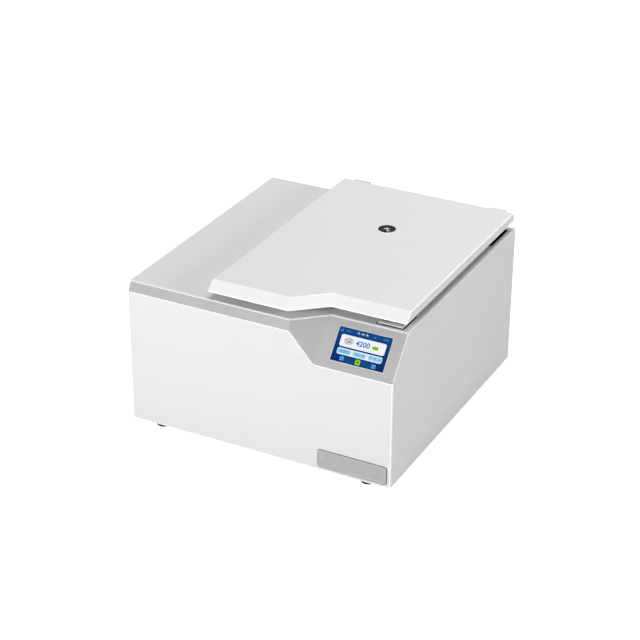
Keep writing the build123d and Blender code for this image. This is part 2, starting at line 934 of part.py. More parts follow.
# Gas struts, each between a stud under the lid and a bracket inside the casing
stud_y = hinge_y - strut_stud_reach
stud_z = hinge_z - strut_stud_drop
strut_foot_y = hinge_y - strut_foot_reach
strut_foot_z = hinge_z - strut_foot_drop
strut_way = Vector(0, strut_foot_y - stud_y, strut_foot_z - stud_z)
strut_length = strut_way.length
strut_down = strut_way.normalized()
open_angle = math.radians(lid_open_deg)
open_stud_y = -strut_stud_reach * math.cos(open_angle) - strut_stud_drop * math.sin(open_angle)
open_stud_z = strut_stud_reach * math.sin(open_angle) - strut_stud_drop * math.cos(open_angle)
open_way = Vector(0, -strut_foot_reach - open_stud_y, -strut_foot_drop - open_stud_z)
strut_travel = open_way.length - strut_length
strut_lean = math.degrees(math.atan2(strut_way.Y, -strut_way.Z) - math.atan2(open_way.Y, -open_way.Z))
strut_turn = lid_open_deg - strut_lean


def strut_barrel_at(x):
    """A strut's closed cylinder, from the eye on the lid's stud down to its rod seal."""
    top = Vector(x, stud_y, stud_z)
    with BuildPart() as barrel:
        rod_between(
            (x - strut_eye_width / 2, stud_y, stud_z),
            (x + strut_eye_width / 2, stud_y, stud_z),
            strut_eye_radius,
        )
        neck_end = strut_eye_radius + strut_neck_length
        rod_between(tuple(top), tuple(top + strut_down * neck_end), strut_neck_radius)
        rod_between(
            tuple(top + strut_down * (neck_end - strut_neck_length / 3)),
            tuple(top + strut_down * strut_barrel),
            strut_radius,
        )
        rod_between(
            (x - strut_eye_width, stud_y, stud_z),
            (x + strut_eye_width, stud_y, stud_z),
            strut_stud_radius + running_fit,
            mode=Mode.SUBTRACT,
        )
        rod_between(
            tuple(top + strut_down * (strut_barrel - strut_bore_depth)),
            tuple(top + strut_down * (strut_barrel + 1)),
            strut_rod_radius + running_fit,
            mode=Mode.SUBTRACT,
        )
    return barrel


def strut_rod_at(x):
    """A strut's rod, from inside the cylinder down to the eye at its foot."""
    foot = Vector(x, strut_foot_y, strut_foot_z)
    exposed = strut_length - strut_barrel
    with BuildPart() as rod:
        rod_between(
            tuple(foot - strut_down * (exposed + strut_rod_inside)),
            tuple(foot - strut_down * strut_eye_radius / 2),
            strut_rod_radius,
        )
        rod_between(
            (x - strut_eye_width / 2, strut_foot_y, strut_foot_z),
            (x + strut_eye_width / 2, strut_foot_y, strut_foot_z),
            strut_eye_radius,
        )
    return rod


strut_cylinder_left, strut_cylinder_right = (strut_barrel_at(x) for x in strut_places)
strut_rod_left, strut_rod_right = (strut_rod_at(x) for x in strut_places)
half_eye = strut_eye_width / 2 + seam

with BuildPart() as strut_studs:
    for x, inboard in zip(strut_places, (1, -1)):
        near = x + inboard * half_eye
        far = near + inboard * strut_stud_plate
        box_between(
            (min(near, far), stud_y - strut_cheek_length / 2, stud_z - strut_cheek_drop),
            (max(near, far), stud_y + strut_cheek_length / 2, z_lid - seam),
        )
        plate = near + inboard * strut_stud_foot
        box_between(
            (min(near, plate), stud_y - strut_stud_length / 2, z_lid - seam - hook_foot_thickness),
            (max(near, plate), stud_y + strut_stud_length / 2, z_lid - seam),
        )
        rod_between(
            (near, stud_y, stud_z),
            (x - inboard * strut_eye_width / 2, stud_y, stud_z),
            strut_stud_radius,
        )

with BuildPart() as strut_brackets:
    left_x, right_x = strut_places
    for low, high in ((partition_x + seam, left_x - half_eye), (right_x + half_eye, x_inside - seam)):
        box_between(
            (low, strut_foot_y - strut_bracket_half, strut_foot_z - strut_bracket_half),
            (high, strut_foot_y + strut_bracket_half, strut_foot_z + strut_bracket_half),
        )

# Rotor and buckets
hub_bottom = z_pivot - hub_below
slot_half = bucket_radius + ear_thickness + seam

with BuildPart() as rotor_head:
    with BuildSketch(Plane.XY.offset(z_pivot - rotor_below)):
        Circle(rotor_radius)
        with PolarLocations(rotor_web + rotor_radius / 2, 4):
            Rectangle(rotor_radius, 2 * slot_half, mode=Mode.SUBTRACT)
    extrude(amount=rotor_below + rotor_above)
    with BuildSketch(Plane.XY.offset(hub_bottom)):
        Circle(hub_radius)
    extrude(amount=z_pivot - hub_bottom)
    with PolarLocations(pivot_radius, 4):
        for side in (-1, 1):
            with Locations(Location((0, side * (slot_half - trunnion_length / 2), z_pivot), (90, 0, 0))):
                Cylinder(trunnion_radius, trunnion_length)
    with BuildSketch(Plane.XY.offset(hub_bottom - 1)):
        Circle(shaft_radius + running_fit)
    extrude(amount=hub_below + rotor_above + 2, mode=Mode.SUBTRACT)
rotor_head.part.position = (chamber_x, chamber_y, 0)

ear_half = slot_half - seam


def bucket_at(angle):
    """A swing-out bucket hanging from its trunnions, at an angle round the rotor."""
    with BuildPart() as bucket:
        with BuildSketch(Plane.XY.offset(z_pivot + bucket_above)):
            with Locations((pivot_radius, 0)):
                Circle(bucket_radius)
        extrude(amount=-bucket_above - bucket_below)
        base = edges().group_by(Axis.Z)[0]
        fillet(base, radius=bucket_edge_radius)
        for side in (-1, 1):
            root = side * bucket_radius * 0.9
            tip = side * ear_half
            box_between(
                (pivot_radius - ear_width / 2, min(root, tip), z_pivot - ear_width / 2),
                (pivot_radius + ear_width / 2, max(root, tip), z_pivot + bucket_above),
            )
        with BuildSketch(Plane.XY.offset(z_pivot + bucket_above)):
            with Locations((pivot_radius, 0)):
                Circle(bucket_radius - bucket_wall)
        extrude(amount=-bucket_above - bucket_below + bucket_wall, mode=Mode.SUBTRACT)
        notch = trunnion_radius + running_fit
        for side in (-1, 1):
            near = side * (slot_half - trunnion_length - seam)
            far = side * (slot_half + seam)
            rod_between(
                (pivot_radius, near, z_pivot),
                (pivot_radius, far, z_pivot),
                notch,
                mode=Mode.SUBTRACT,
            )
            box_between(
                (pivot_radius - notch, min(near, far), z_pivot - ear_width),
                (pivot_radius + notch, max(near, far), z_pivot),
                mode=Mode.SUBTRACT,
            )
    bucket.part.orientation = (0, 0, angle)
    bucket.part.position = (chamber_x, chamber_y, 0)
    return bucket


bucket_right, bucket_back, bucket_left, bucket_front = (bucket_at(angle) for angle in (0, 90, 180, 270))

z_nut = z_pivot + rotor_above + seam
z_shaft_top = z_nut + nut_height * 0.6

with BuildPart() as rotor_nut:
    with BuildSketch(Plane.XY.offset(z_nut)):
        with Locations((chamber_x, chamber_y)):
            Circle(nut_radius)
            with PolarLocations(nut_radius + nut_grip_radius / 2, nut_grip_count):
                Circle(nut_grip_radius, mode=Mode.SUBTRACT)
    extrude(amount=nut_height)
    chamfer(edges().group_by(Axis.Z)[-1].filter_by(GeomType.CIRCLE), length=nut_edge)
    rod_between(
        (chamber_x, chamber_y, z_nut - seam),
        (chamber_x, chamber_y, z_shaft_top + seam),
        shaft_radius + running_fit,
        mode=Mode.SUBTRACT,
    )

# Drive motor under the bowl
z_motor_top = z_foam_bottom - motor_top_space
z_motor = z_motor_top - motor_height
plate_half = motor_radius + 2 * damper_radius

with BuildPart() as motor_plate:
    with BuildSketch(Plane.XY.offset(z_motor - motor_plate_thickness)):
        with Locations((chamber_x, chamber_y)):
            RectangleRounded(2 * plate_half, 2 * plate_half, damper_radius)
            Circle(bearing_radius + bearing_rest, mode=Mode.SUBTRACT)
    extrude(amount=motor_plate_thickness - seam)

damper_spots = [
    (chamber_x + sx * (plate_half - damper_radius), chamber_y + sy * (plate_half - damper_radius))
    for sx in (-1, 1)
    for sy in (-1, 1)
]
compressor_foot = compressor_radius * 0.9
compressor_spots = [
    (compressor_x + sx * compressor_foot * 0.8, compressor_y + sy * compressor_foot)
    for sx in (-1, 1)
    for sy in (-1, 1)
]
z_compressor = z_pan + compressor_lift

with BuildPart() as rubber_mounts:
    for spots, radius, top in (
        (damper_spots, damper_radius, z_motor - motor_plate_thickness - seam),
        (compressor_spots, damper_radius * 0.8, z_compressor - seam),
    ):
        for x, y in spots:
            with BuildSketch(Plane.XY.offset(z_pan)):
                with Locations((x, y)):
                    Circle(radius)
            extrude(amount=top - z_pan)

with BuildPart() as motor_housing:
    with BuildSketch(Plane.XY.offset(z_motor)):
        with Locations((chamber_x, chamber_y)):
            Circle(motor_radius)
    extrude(amount=motor_height)
    with BuildSketch(Plane.XY.offset(z_motor + motor_wall)):
        with Locations((chamber_x, chamber_y)):
            Circle(motor_radius - motor_wall)
    extrude(amount=motor_height - 2 * motor_wall, mode=Mode.SUBTRACT)
    with BuildSketch(Plane.XY.offset(z_motor_top - motor_wall)):
        with Locations((chamber_x, chamber_y)):
            Circle(bearing_radius + motor_wall)
            Circle(bearing_radius + running_fit, mode=Mode.SUBTRACT)
    extrude(amount=-bearing_height)
    with BuildSketch(Plane.XY.offset(z_motor + motor_wall)):
        with Locations((chamber_x, chamber_y)):
            Circle(bearing_radius + motor_wall)
            Circle(bearing_radius + running_fit, mode=Mode.SUBTRACT)
    extrude(amount=bearing_height)
    with BuildSketch(Plane.XY.offset(z_motor_top - motor_wall - 1)):
        with Locations((chamber_x, chamber_y)):
            Circle(shaft_radius + shaft_hole_space)
    extrude(amount=motor_wall + 2, mode=Mode.SUBTRACT)
    with BuildSketch(Plane.XY.offset(z_motor + motor_height / 2)):
        with Locations((chamber_x, chamber_y)):
            with PolarLocations(motor_radius + motor_rib_rise / 2 - seam, motor_rib_count):
                Rectangle(motor_rib_rise + 2 * seam, motor_rib_width)
    extrude(amount=motor_height / 3, both=True)

bearing_levels = (z_motor + motor_wall + seam, z_motor_top - motor_wall - bearing_height)

with BuildPart() as motor_bearings:
    for level in bearing_levels:
        with BuildSketch(Plane.XY.offset(level)):
            with Locations((chamber_x, chamber_y)):
                Circle(bearing_radius)
                Circle(shaft_radius + running_fit, mode=Mode.SUBTRACT)
        extrude(amount=bearing_height - 2 * seam)

z_stator = z_motor + motor_wall + bearing_height + winding_space
stator_height = motor_height - 2 * (motor_wall + bearing_height + winding_space)
stator_outer = motor_radius - motor_wall - running_fit

with BuildPart() as stator:
    with BuildSketch(Plane.XY.offset(z_stator)):
        with Locations((chamber_x, chamber_y)):
            Circle(stator_outer)
            Circle(core_radius + swing_gap, mode=Mode.SUBTRACT)
    extrude(amount=stator_height)

with BuildPart() as drive_shaft:
    rod_between(
        (chamber_x, chamber_y, z_motor + motor_wall + 2 * seam),
        (chamber_x, chamber_y, z_shaft_top),
        shaft_radius,
    )
    rod_between(
        (chamber_x, chamber_y, z_stator + core_inset),
        (chamber_x, chamber_y, z_stator + stator_height - core_inset),
        core_radius,
    )
    rod_between(
        (chamber_x, chamber_y, hub_bottom - collar_height),
        (chamber_x, chamber_y, hub_bottom - seam),
        shaft_radius + collar_rim,
    )

with BuildPart() as shaft_boot:
    with BuildSketch(Plane.XZ):
        with BuildLine():
            Polyline(
                (shaft_radius + swing_gap, z_bowl_floor + seam),
                (shaft_radius + boot_reach, z_bowl_floor + seam),
                (shaft_radius + boot_reach, z_bowl_floor + boot_height * 0.2),
                (shaft_radius + boot_reach * 0.3, z_bowl_floor + boot_height * 0.8),
                (shaft_radius + swing_gap, z_bowl_floor + boot_height),
                close=True,
            )
        make_face()
    revolve(axis=Axis.Z)
shaft_boot.part.position = (chamber_x, chamber_y, 0)

# Console display and its board
with BuildPart() as display_bezel:
    with BuildSketch(console_plane):
        RectangleRounded(screen_width + 2 * bezel_rim, screen_height + 2 * bezel_rim, bezel_rim)
        Rectangle(screen_width, screen_height, mode=Mode.SUBTRACT)
    extrude(amount=bezel_rise)

with BuildPart() as touch_display:
    with BuildSketch(console_plane.offset(bezel_rise * 0.5)):
        Rectangle(screen_width - seam, screen_height - seam)
    extrude(amount=-display_depth)

board_plane = console_plane.offset(bezel_rise * 0.5 - display_depth - board_space)

with BuildPart() as control_board:
    with BuildSketch(board_plane):
        Rectangle(screen_width, screen_height)
    extrude(amount=-board_thickness)
    with BuildSketch(board_plane):
        with GridLocations(screen_width - 2 * board_post_inset, screen_height - 2 * board_post_inset, 2, 2):
            Circle(board_post_radius)
    extrude(amount=board_space - seam)
    with BuildSketch(board_plane.offset(-board_thickness)):
        for u, v, width, height in (
            (-0.26, 0.17, 0.19, 0.31),
            (0.16, -0.14, 0.12, 0.29),
            (0.33, 0.26, 0.21, 0.11),
        ):
            with Locations((u * screen_width, v * screen_height)):
                Rectangle(width * screen_width, height * screen_height)
    extrude(amount=-chip_height)

# Lid lock
z_pad = z_deck + lock_pad_rise

with BuildPart() as lock_pad:
    with BuildSketch(Plane.XY.offset(z_deck)):
        with Locations((lock_x, lock_y)):
            RectangleRounded(
                lock_plate_width + 2 * lock_pad_rim, lock_plate_length + 2 * lock_pad_rim, lock_corner
            )
            SlotOverall(lock_slot_length, lock_slot_width, rotation=90, mode=Mode.SUBTRACT)
    extrude(amount=lock_pad_rise)

with BuildPart() as lock_plate:
    with BuildSketch(Plane.XY.offset(z_pad)):
        with Locations((lock_x, lock_y)):
            RectangleRounded(lock_plate_width, lock_plate_length, lock_corner)
            SlotOverall(lock_slot_length, lock_slot_width, rotation=90, mode=Mode.SUBTRACT)
    extrude(amount=lock_plate_rise)
    chamfer(edges().group_by(Axis.Z)[-1], length=lock_edge)

z_hook_eye = z_deck - hook_reach + hook_eye / 2 + hook_eye_below
z_lock_top = z_under_deck - seam
lock_low = z_lock_top - lock_body_height

with BuildPart() as lock_housing:
    half = lock_body_width / 2
    box_between((lock_x - half, lock_y - half, lock_low), (lock_x + half, lock_y + half, z_lock_top))
    box_between(
        (lock_x - lock_slot_width / 2, lock_y - lock_slot_length / 2, lock_low + lock_body_wall),
        (lock_x + lock_slot_width / 2, lock_y + lock_slot_length / 2, z_lock_top + 1),
        mode=Mode.SUBTRACT,
    )
    rod_between(
        (lock_x, lock_y, z_hook_eye),
        (lock_x + half + seam, lock_y, z_hook_eye),
        bolt_radius + running_fit,
        mode=Mode.SUBTRACT,
    )
    rod_between(
        (lock_x - half + lock_body_wall, lock_y, z_hook_eye),
        (lock_x, lock_y, z_hook_eye),
        bolt_radius + 4 * running_fit,
        mode=Mode.SUBTRACT,
    )

bolt_tip = lock_x + bolt_start

with BuildPart() as lock_bolt:
    rod_between((bolt_tip, lock_y, z_hook_eye), (bolt_tip + bolt_length, lock_y, z_hook_eye), bolt_radius)
    chamfer(edges().sort_by(Axis.X)[0], length=bolt_point)

with BuildPart() as lid_hook:
    z_hook_foot = z_lid - seam - hook_foot_thickness
    box_between(
        (lock_x - hook_foot_width / 2, lock_y - hook_foot_length / 2, z_hook_foot),
        (lock_x + hook_foot_width / 2, lock_y + hook_foot_length / 2, z_lid - seam),
    )
    box_between(
        (lock_x - hook_thickness / 2, lock_y - hook_width / 2, z_deck - hook_reach),
        (lock_x + hook_thickness / 2, lock_y + hook_width / 2, z_hook_foot),
    )
    rod_between(
        (lock_x - hook_thickness, lock_y, z_hook_eye),
        (lock_x + hook_thickness, lock_y, z_hook_eye),
        hook_eye / 2,
        mode=Mode.SUBTRACT,
    )

# Badge place
with BuildPart() as badge_plate:
    badge_x = x_right - badge_right_inset - badge_width / 2
    badge_z = z_case + badge_lift + badge_height / 2
    with BuildSketch(front_plane(y_front)):
        with Locations((badge_x, badge_z)):
            RectangleRounded(badge_width, badge_height, badge_corner)
    extrude(amount=badge_thickness)
    front_rim = edges().group_by(Axis.Y)[0]
    chamfer(front_rim, length=badge_edge)

# Refrigeration bay
stub_offset = compressor_radius * 0.35
z_stub = z_compressor + compressor_height + stub_rise

with BuildPart() as compressor:
    with BuildSketch(Plane.XZ):
        with BuildLine():
            Polyline(
                (0, z_compressor),
                (compressor_radius * 0.85, z_compressor),
                (compressor_radius, z_compressor + compressor_height * 0.15),
                (compressor_radius, z_compressor + compressor_height * 0.8),
                (compressor_radius * 0.75, z_compressor + compressor_height * 0.97),
                (0, z_compressor + compressor_height),
                close=True,
            )
        make_face()
        rounded = [v for v in vertices() if v.X > 1]
        fillet(rounded, radius=8)
    revolve(axis=Axis.Z)
    with BuildSketch(Plane.XY.offset(z_compressor + compressor_height * 0.55)):
        Circle(compressor_radius + compressor_seam_rise)
    extrude(amount=compressor_seam_height)
    foot_x = compressor_foot * 0.8 + damper_radius
    foot_y = compressor_foot + damper_radius
    box_between((-foot_x, -foot_y, z_compressor), (foot_x, foot_y, z_compressor + compressor_foot_sheet))
    box_between(
        (compressor_radius * 0.6, -terminal_half, z_compressor + compressor_height * 0.25),
        (compressor_radius + terminal_reach, terminal_half, z_compressor + compressor_height * 0.5),
    )
    for side in (-1, 1):
        rod_between(
            (side * stub_offset, 0, z_compressor + compressor_height * 0.9),
            (side * stub_offset, 0, z_stub),
            pipe_radius + stub_wall,
        )
compressor.part.position = (compressor_x, compressor_y, 0)

z_condenser = z_pan + condenser_lift
condenser_left = -x_inside + condenser_gap
condenser_right = condenser_left + condenser_thickness
condenser_back = y_front + condenser_front + condenser_length
fin_count = int((condenser_length - 2 * fin_margin) / fin_pitch)
middle_x = (condenser_left + condenser_right) / 2
tube_columns = (condenser_left + condenser_thickness * 0.27, condenser_left + condenser_thickness * 0.73)
row_pitch = condenser_height / condenser_rows

with BuildPart() as condenser:
    for end in (y_front + condenser_front, condenser_back - condenser_plate):
        box_between(
            (condenser_left, end, z_pan),
            (condenser_right, end + condenser_plate, z_condenser + condenser_height),
        )
    with Locations((middle_x, condenser_y, condenser_z)):
        with GridLocations(1, fin_pitch, 1, fin_count):
            Box(condenser_thickness, fin_thickness, condenser_height)
    for row in range(condenser_rows):
        level = z_condenser + row_pitch * (row + 0.5)
        for x in tube_columns:
            rod_between(
                (x, y_front + condenser_front - condenser_bend, level),
                (x, condenser_back + condenser_bend, level),
                condenser_tube,
            )

fan_left = condenser_right + fan_gap
fan_right = fan_left + fan_depth
fan_duct = fan_size / 2 - fan_rim
hub_left = fan_left + fan_hub_inset
hub_right = fan_left + fan_depth * 0.6

with BuildPart() as fan_frame:
    with BuildSketch(side_plane(fan_left)):
        with Locations((condenser_y, condenser_z)):
            RectangleRounded(fan_size, fan_size, fan_corner)
            Circle(fan_duct, mode=Mode.SUBTRACT)
            with GridLocations(fan_size - 2 * fan_screw_inset, fan_size - 2 * fan_screw_inset, 2, 2):
                Circle(fan_screw_radius, mode=Mode.SUBTRACT)
    extrude(amount=fan_depth)
    with BuildSketch(side_plane(fan_right - fan_spoke_depth)):
        with Locations((condenser_y, condenser_z)):
            Circle(fan_hub_radius)
            for angle in (45, 135):
                Rectangle(fan_size, fan_spoke_width, rotation=angle)
    extrude(amount=fan_spoke_depth)
    rod_between(
        (hub_right + seam, condenser_y, condenser_z),
        (fan_right - fan_spoke_depth / 2, condenser_y, condenser_z),
        fan_hub_radius * 0.6,
    )
    rod_between(
        (hub_right, condenser_y, condenser_z),
        (fan_right - fan_spoke_depth, condenser_y, condenser_z),
        fan_shaft_radius + running_fit,
        mode=Mode.SUBTRACT,
    )
    box_between(
        (fan_left, condenser_y - fan_size / 2, z_pan),
        (fan_right, condenser_y + fan_size / 2, condenser_z - fan_size / 2 + fan_rim),
    )

with BuildPart() as fan_blades:
    rod_between((hub_left, condenser_y, condenser_z), (hub_right, condenser_y, condenser_z), fan_hub_radius)
    rod_between(
        (hub_left, condenser_y, condenser_z),
        (fan_right - fan_spoke_depth - seam, condenser_y, condenser_z),
        fan_shaft_radius,
    )
    blade_tip = fan_duct - fan_tip_gap
    blade_root = fan_hub_radius * 0.8
    blade_middle = (blade_root + blade_tip) / 2
    fan_plane = side_plane((hub_left + hub_right) / 2)
    for blade in range(fan_blade_count):
        angle = math.tau * blade / fan_blade_count
        place = fan_plane.from_local_coords(
            Vector(
                condenser_y + blade_middle * math.cos(angle),
                condenser_z + blade_middle * math.sin(angle),
                0,
            )
        )
        outward = Vector(0, math.cos(angle), math.sin(angle))
        across = (Vector(1, 0, 0).cross(outward) * 0.8 + Vector(1, 0, 0) * 0.36).normalized()
        with BuildSketch(Plane(origin=place, x_dir=outward, z_dir=outward.cross(across))):
            Rectangle(blade_tip - blade_root, fan_hub_radius * 1.2)
        extrude(amount=fan_blade_thickness / 2, both=True)

# Refrigerant lines
discharge_z = z_stub + discharge_rise
capillary_z = discharge_z + capillary_rise
high_port_z = z_condenser + row_pitch * (condenser_rows - 0.5)
low_port_z = z_condenser + row_pitch * 0.5
outer_port_x, inner_port_x = tube_columns
port_y = condenser_back + condenser_bend + seam
drier_y = port_y + 3.4 * drier_radius
drier_low = low_port_z + drier_port_rise
drier_top = drier_low + drier_length
capillary_x = partition_x - 16 * capillary_radius
(inlet_gate_y, inlet_gate_z), (suction_gate_y, suction_gate_z) = coil_gates

discharge_route = pipe_route(
    [
        (compressor_x - stub_offset, compressor_y, z_stub + seam),
        (compressor_x - stub_offset, compressor_y, discharge_z),
        (outer_port_x, compressor_y - 10 * pipe_radius, discharge_z),
        (outer_port_x, port_y + 15 * pipe_radius, discharge_z),
        (outer_port_x, port_y + 7.5 * pipe_radius, high_port_z),
        (outer_port_x, port_y, high_port_z),
    ],
    pipe_radius,
)

liquid_route = pipe_route(
    [
        (inner_port_x, port_y, low_port_z),
        (inner_port_x, (port_y + drier_y) / 2, low_port_z),
        (inner_port_x, drier_y, (low_port_z + drier_low) / 2),
        (inner_port_x, drier_y, drier_low + seam),
    ],
    capillary_radius,
)
capillary_route = pipe_route(
    [
        (inner_port_x, drier_y, drier_top - seam),
        (inner_port_x, drier_y, capillary_z),
        (capillary_x, drier_y + 6 * drier_radius, capillary_z),
        (capillary_x, inlet_gate_y, inlet_gate_z),
        (coil_stub_x - seam, inlet_gate_y, inlet_gate_z),
    ],
    capillary_radius,
)

suction_route = pipe_route(
    [
        (compressor_x + stub_offset, compressor_y, z_stub + seam),
        (compressor_x + stub_offset, compressor_y, capillary_z + suction_rise),
        (partition_x - 11 * pipe_radius, suction_gate_y, suction_gate_z),
        (coil_stub_x - seam, suction_gate_y, suction_gate_z),
    ],
    pipe_radius,
)

with BuildPart() as refrigerant_lines:
    for route, radius in (
        (discharge_route, pipe_radius),
        (suction_route, pipe_radius),
        (liquid_route, capillary_radius),
        (capillary_route, capillary_radius),
    ):
        with BuildSketch(Plane(origin=route @ 0, z_dir=route % 0)):
            Circle(radius)
        sweep(path=route)
    rod_between((inner_port_x, drier_y, drier_low), (inner_port_x, drier_y, drier_top), drier_radius)

# Drive electronics in front of the chamber
rack_x = chamber_x + foam_outer * 0.3
rack_y = y_front + rack_front_inset
rack_left = rack_x - rack_width / 2
sink_left = rack_left + sink_inset
sink_width = sink_fin_count * sink_fin_pitch
sink_z = z_pan + rack_height * 0.54
capacitor_z = z_pan + rack_height / 2

with BuildPart() as drive_board:
    rack_right = rack_left + rack_width
    box_between((rack_left, rack_y, z_pan), (rack_right, rack_y + rack_sheet, z_pan + rack_height))
    box_between(
        (rack_left, rack_y + rack_sheet, z_pan),
        (rack_right, rack_y + rack_depth, z_pan + rack_sheet),
    )
    sink_front = rack_y + rack_sheet
    box_between(
        (sink_left, sink_front, sink_z - sink_height / 2),
        (sink_left + sink_width, sink_front + sink_plate, sink_z + sink_height / 2),
    )
    with Locations((sink_left + sink_width / 2, sink_front + sink_fin_depth / 2, sink_z)):
        with GridLocations(sink_fin_pitch, 1, sink_fin_count, 1):
            Box(sink_fin_thickness, sink_fin_depth, sink_height)
    for n in range(2):
        x = rack_right - capacitor_inset - n * capacitor_pitch
        rod_between(
            (x, sink_front, capacitor_z),
            (x, sink_front + capacitor_length, capacitor_z),
            capacitor_radius,
        )

# Mains inlet and power switch
with BuildPart() as power_inlet:
    with BuildSketch(back_plane(y_back)):
        with Locations((-inlet_x, inlet_z)):
            RectangleRounded(inlet_width, inlet_height, inlet_corner)
            Rectangle(socket_width, socket_height, mode=Mode.SUBTRACT)
    extrude(amount=inlet_rise)
    with BuildSketch(back_plane(y_back)):
        with Locations((-inlet_x, inlet_z)):
            Rectangle(inlet_body_width, inlet_body_height)
            Rectangle(socket_width, socket_height, mode=Mode.SUBTRACT)
    extrude(amount=-socket_depth)
    with BuildSketch(back_plane(y_back - socket_depth)):
        with Locations((-inlet_x, inlet_z)):
            Rectangle(inlet_body_width, inlet_body_height)
    extrude(amount=-socket_floor)
    with BuildSketch(back_plane(y_back - socket_depth)):
        for across, up in ((-blade_spread, blade_low), (blade_spread, blade_low), (0, blade_high)):
            with Locations((-inlet_x + across, inlet_z + up)):
                Rectangle(blade_width, blade_height)
    extrude(amount=socket_depth - blade_recess)

rocker_y = y_back - rocker_pivot_depth
well_width = switch_width - 2 * switch_wall
well_height = switch_height - 2 * switch_wall

with BuildPart() as switch_frame:
    with BuildSketch(back_plane(y_back)):
        with Locations((-switch_x, inlet_z)):
            RectangleRounded(switch_width + 2 * switch_rim, switch_height + 2 * switch_rim, switch_corner)
            Rectangle(well_width, well_height, mode=Mode.SUBTRACT)
    extrude(amount=switch_rise)
    with BuildSketch(back_plane(y_back)):
        with Locations((-switch_x, inlet_z)):
            Rectangle(switch_width, switch_height)
            Rectangle(well_width, well_height, mode=Mode.SUBTRACT)
    extrude(amount=-switch_depth)
    with BuildSketch(back_plane(y_back - switch_depth)):
        with Locations((-switch_x, inlet_z)):
            Rectangle(switch_width, switch_height)
    extrude(amount=-switch_floor)
    rod_between(
        (switch_x - switch_width / 2 + switch_wall / 4, rocker_y, inlet_z),
        (switch_x + switch_width / 2 - switch_wall / 4, rocker_y, inlet_z),
        rocker_pin_radius + running_fit,
        mode=Mode.SUBTRACT,
    )

rocker_half = well_height / 2 - rocker_space

with BuildPart() as switch_rocker:
    with BuildSketch(side_plane(switch_x)):
        with BuildLine():
            Polyline(
                (-rocker_back, -rocker_half * 0.6),
                (rocker_front, -rocker_half),
                (rocker_front - rocker_dip, 0),
                (rocker_front, rocker_half),
                (-rocker_back, rocker_half * 0.6),
                close=True,
            )
        make_face()
    extrude(amount=well_width / 2 - swing_gap, both=True)
    rod_between(
        (switch_x - (switch_width - switch_wall) / 2, 0, 0),
        (switch_x + (switch_width - switch_wall) / 2, 0, 0),
        rocker_pin_radius,
    )
switch_rocker.part.position = (0, rocker_y, inlet_z)
switch_rocker.part = switch_rocker.part.rotate(Axis((0, rocker_y, inlet_z), (1, 0, 0)), -rocker_tilt)

# Screws that hold the rear panel
with BuildPart() as panel_screws:
    with BuildSketch(back_plane(y_back)):
        for x in (x_left + screw_inset, partition_x, chamber_x, x_right - screw_inset):
            for z in (z_case + screw_inset, z_deck - screw_inset):
                with Locations((-x, z)):
                    Circle(screw_radius)
                    for angle in (0, 90):
                        Rectangle(screw_slot, screw_radius, rotation=angle, mode=Mode.SUBTRACT)
    extrude(amount=screw_height)

pieces = {
    "base_pan": base_pan,
    "front_panel": front_panel,
    "left_side_panel": left_side_panel,
    "right_side_panel": right_side_panel,
    "rear_panel": rear_panel,
    "top_cover": top_cover,
    "front_trim": front_trim,
    "partition_wall": partition_wall,
    "rubber_feet": rubber_feet,
    "panel_screws": panel_screws,
    "badge_plate": badge_plate,
    "display_bezel": display_bezel,
    "touch_display": touch_display,
    "control_board": control_board,
    "lock_pad": lock_pad,
    "lock_plate": lock_plate,
    "lock_housing": lock_housing,
    "lock_bolt": lock_bolt,
    "lid_hook": lid_hook,
    "chamber_bowl": chamber_bowl,
    "chamber_gasket": chamber_gasket,
    "chamber_insulation": chamber_insulation,
    "evaporator_coil": evaporator_coil,
    "shaft_boot": shaft_boot,
    "lid_shell": lid_shell,
    "lid_base_plate": lid_base_plate,
    "lid_plug": lid_plug,
    "port_bezel": port_bezel,
    "port_windows": port_windows,
    "hinge_leaves": hinge_leaves,
    "lid_knuckles": lid_knuckles,
    "hinge_pins": hinge_pins,
    "strut_studs": strut_studs,
    "strut_brackets": strut_brackets,
    "strut_cylinder_left": strut_cylinder_left,
    "strut_cylinder_right": strut_cylinder_right,
    "strut_rod_left": strut_rod_left,
    "strut_rod_right": strut_rod_right,
    "rotor_head": rotor_head,
    "rotor_nut": rotor_nut,
    "bucket_right": bucket_right,
    "bucket_back": bucket_back,
    "bucket_left": bucket_left,
    "bucket_front": bucket_front,
    "drive_shaft": drive_shaft,
    "motor_housing": motor_housing,
    "motor_plate": motor_plate,
    "motor_bearings": motor_bearings,
    "stator": stator,
    "rubber_mounts": rubber_mounts,
    "compressor": compressor,
    "condenser": condenser,
    "fan_frame": fan_frame,
    "fan_blades": fan_blades,
    "refrigerant_lines": refrigerant_lines,
    "drive_board": drive_board,
    "power_inlet": power_inlet,
    "switch_frame": switch_frame,
    "switch_rocker": switch_rocker,
}
for name, piece in pieces.items():
    piece.part.label = name
    export_step(piece.part, f"parts/{name}.step")

print("nodes", len(pieces))
print("hinge axis y, z", round(hinge_y, 3), round(hinge_z, 3))
print("chamber centre", round(chamber_x, 3), round(chamber_y, 3), "pivot z", round(z_pivot, 3))
print("strut stud y, z", round(stud_y, 3), round(stud_z, 3), "down", strut_down)
print("strut travel", round(strut_travel, 3), "turn", round(strut_turn, 3), "length", round(strut_length, 3))
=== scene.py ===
"""A refrigerated bench centrifuge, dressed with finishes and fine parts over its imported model.

Every length is in metres in the model's own frame: +Z is up, the front panel faces -Y and +X is
to the right seen from the front.
"""

import logging
import math
from dataclasses import dataclass
from enum import Enum

import bmesh
import bpy
from mathutils import Matrix, Vector


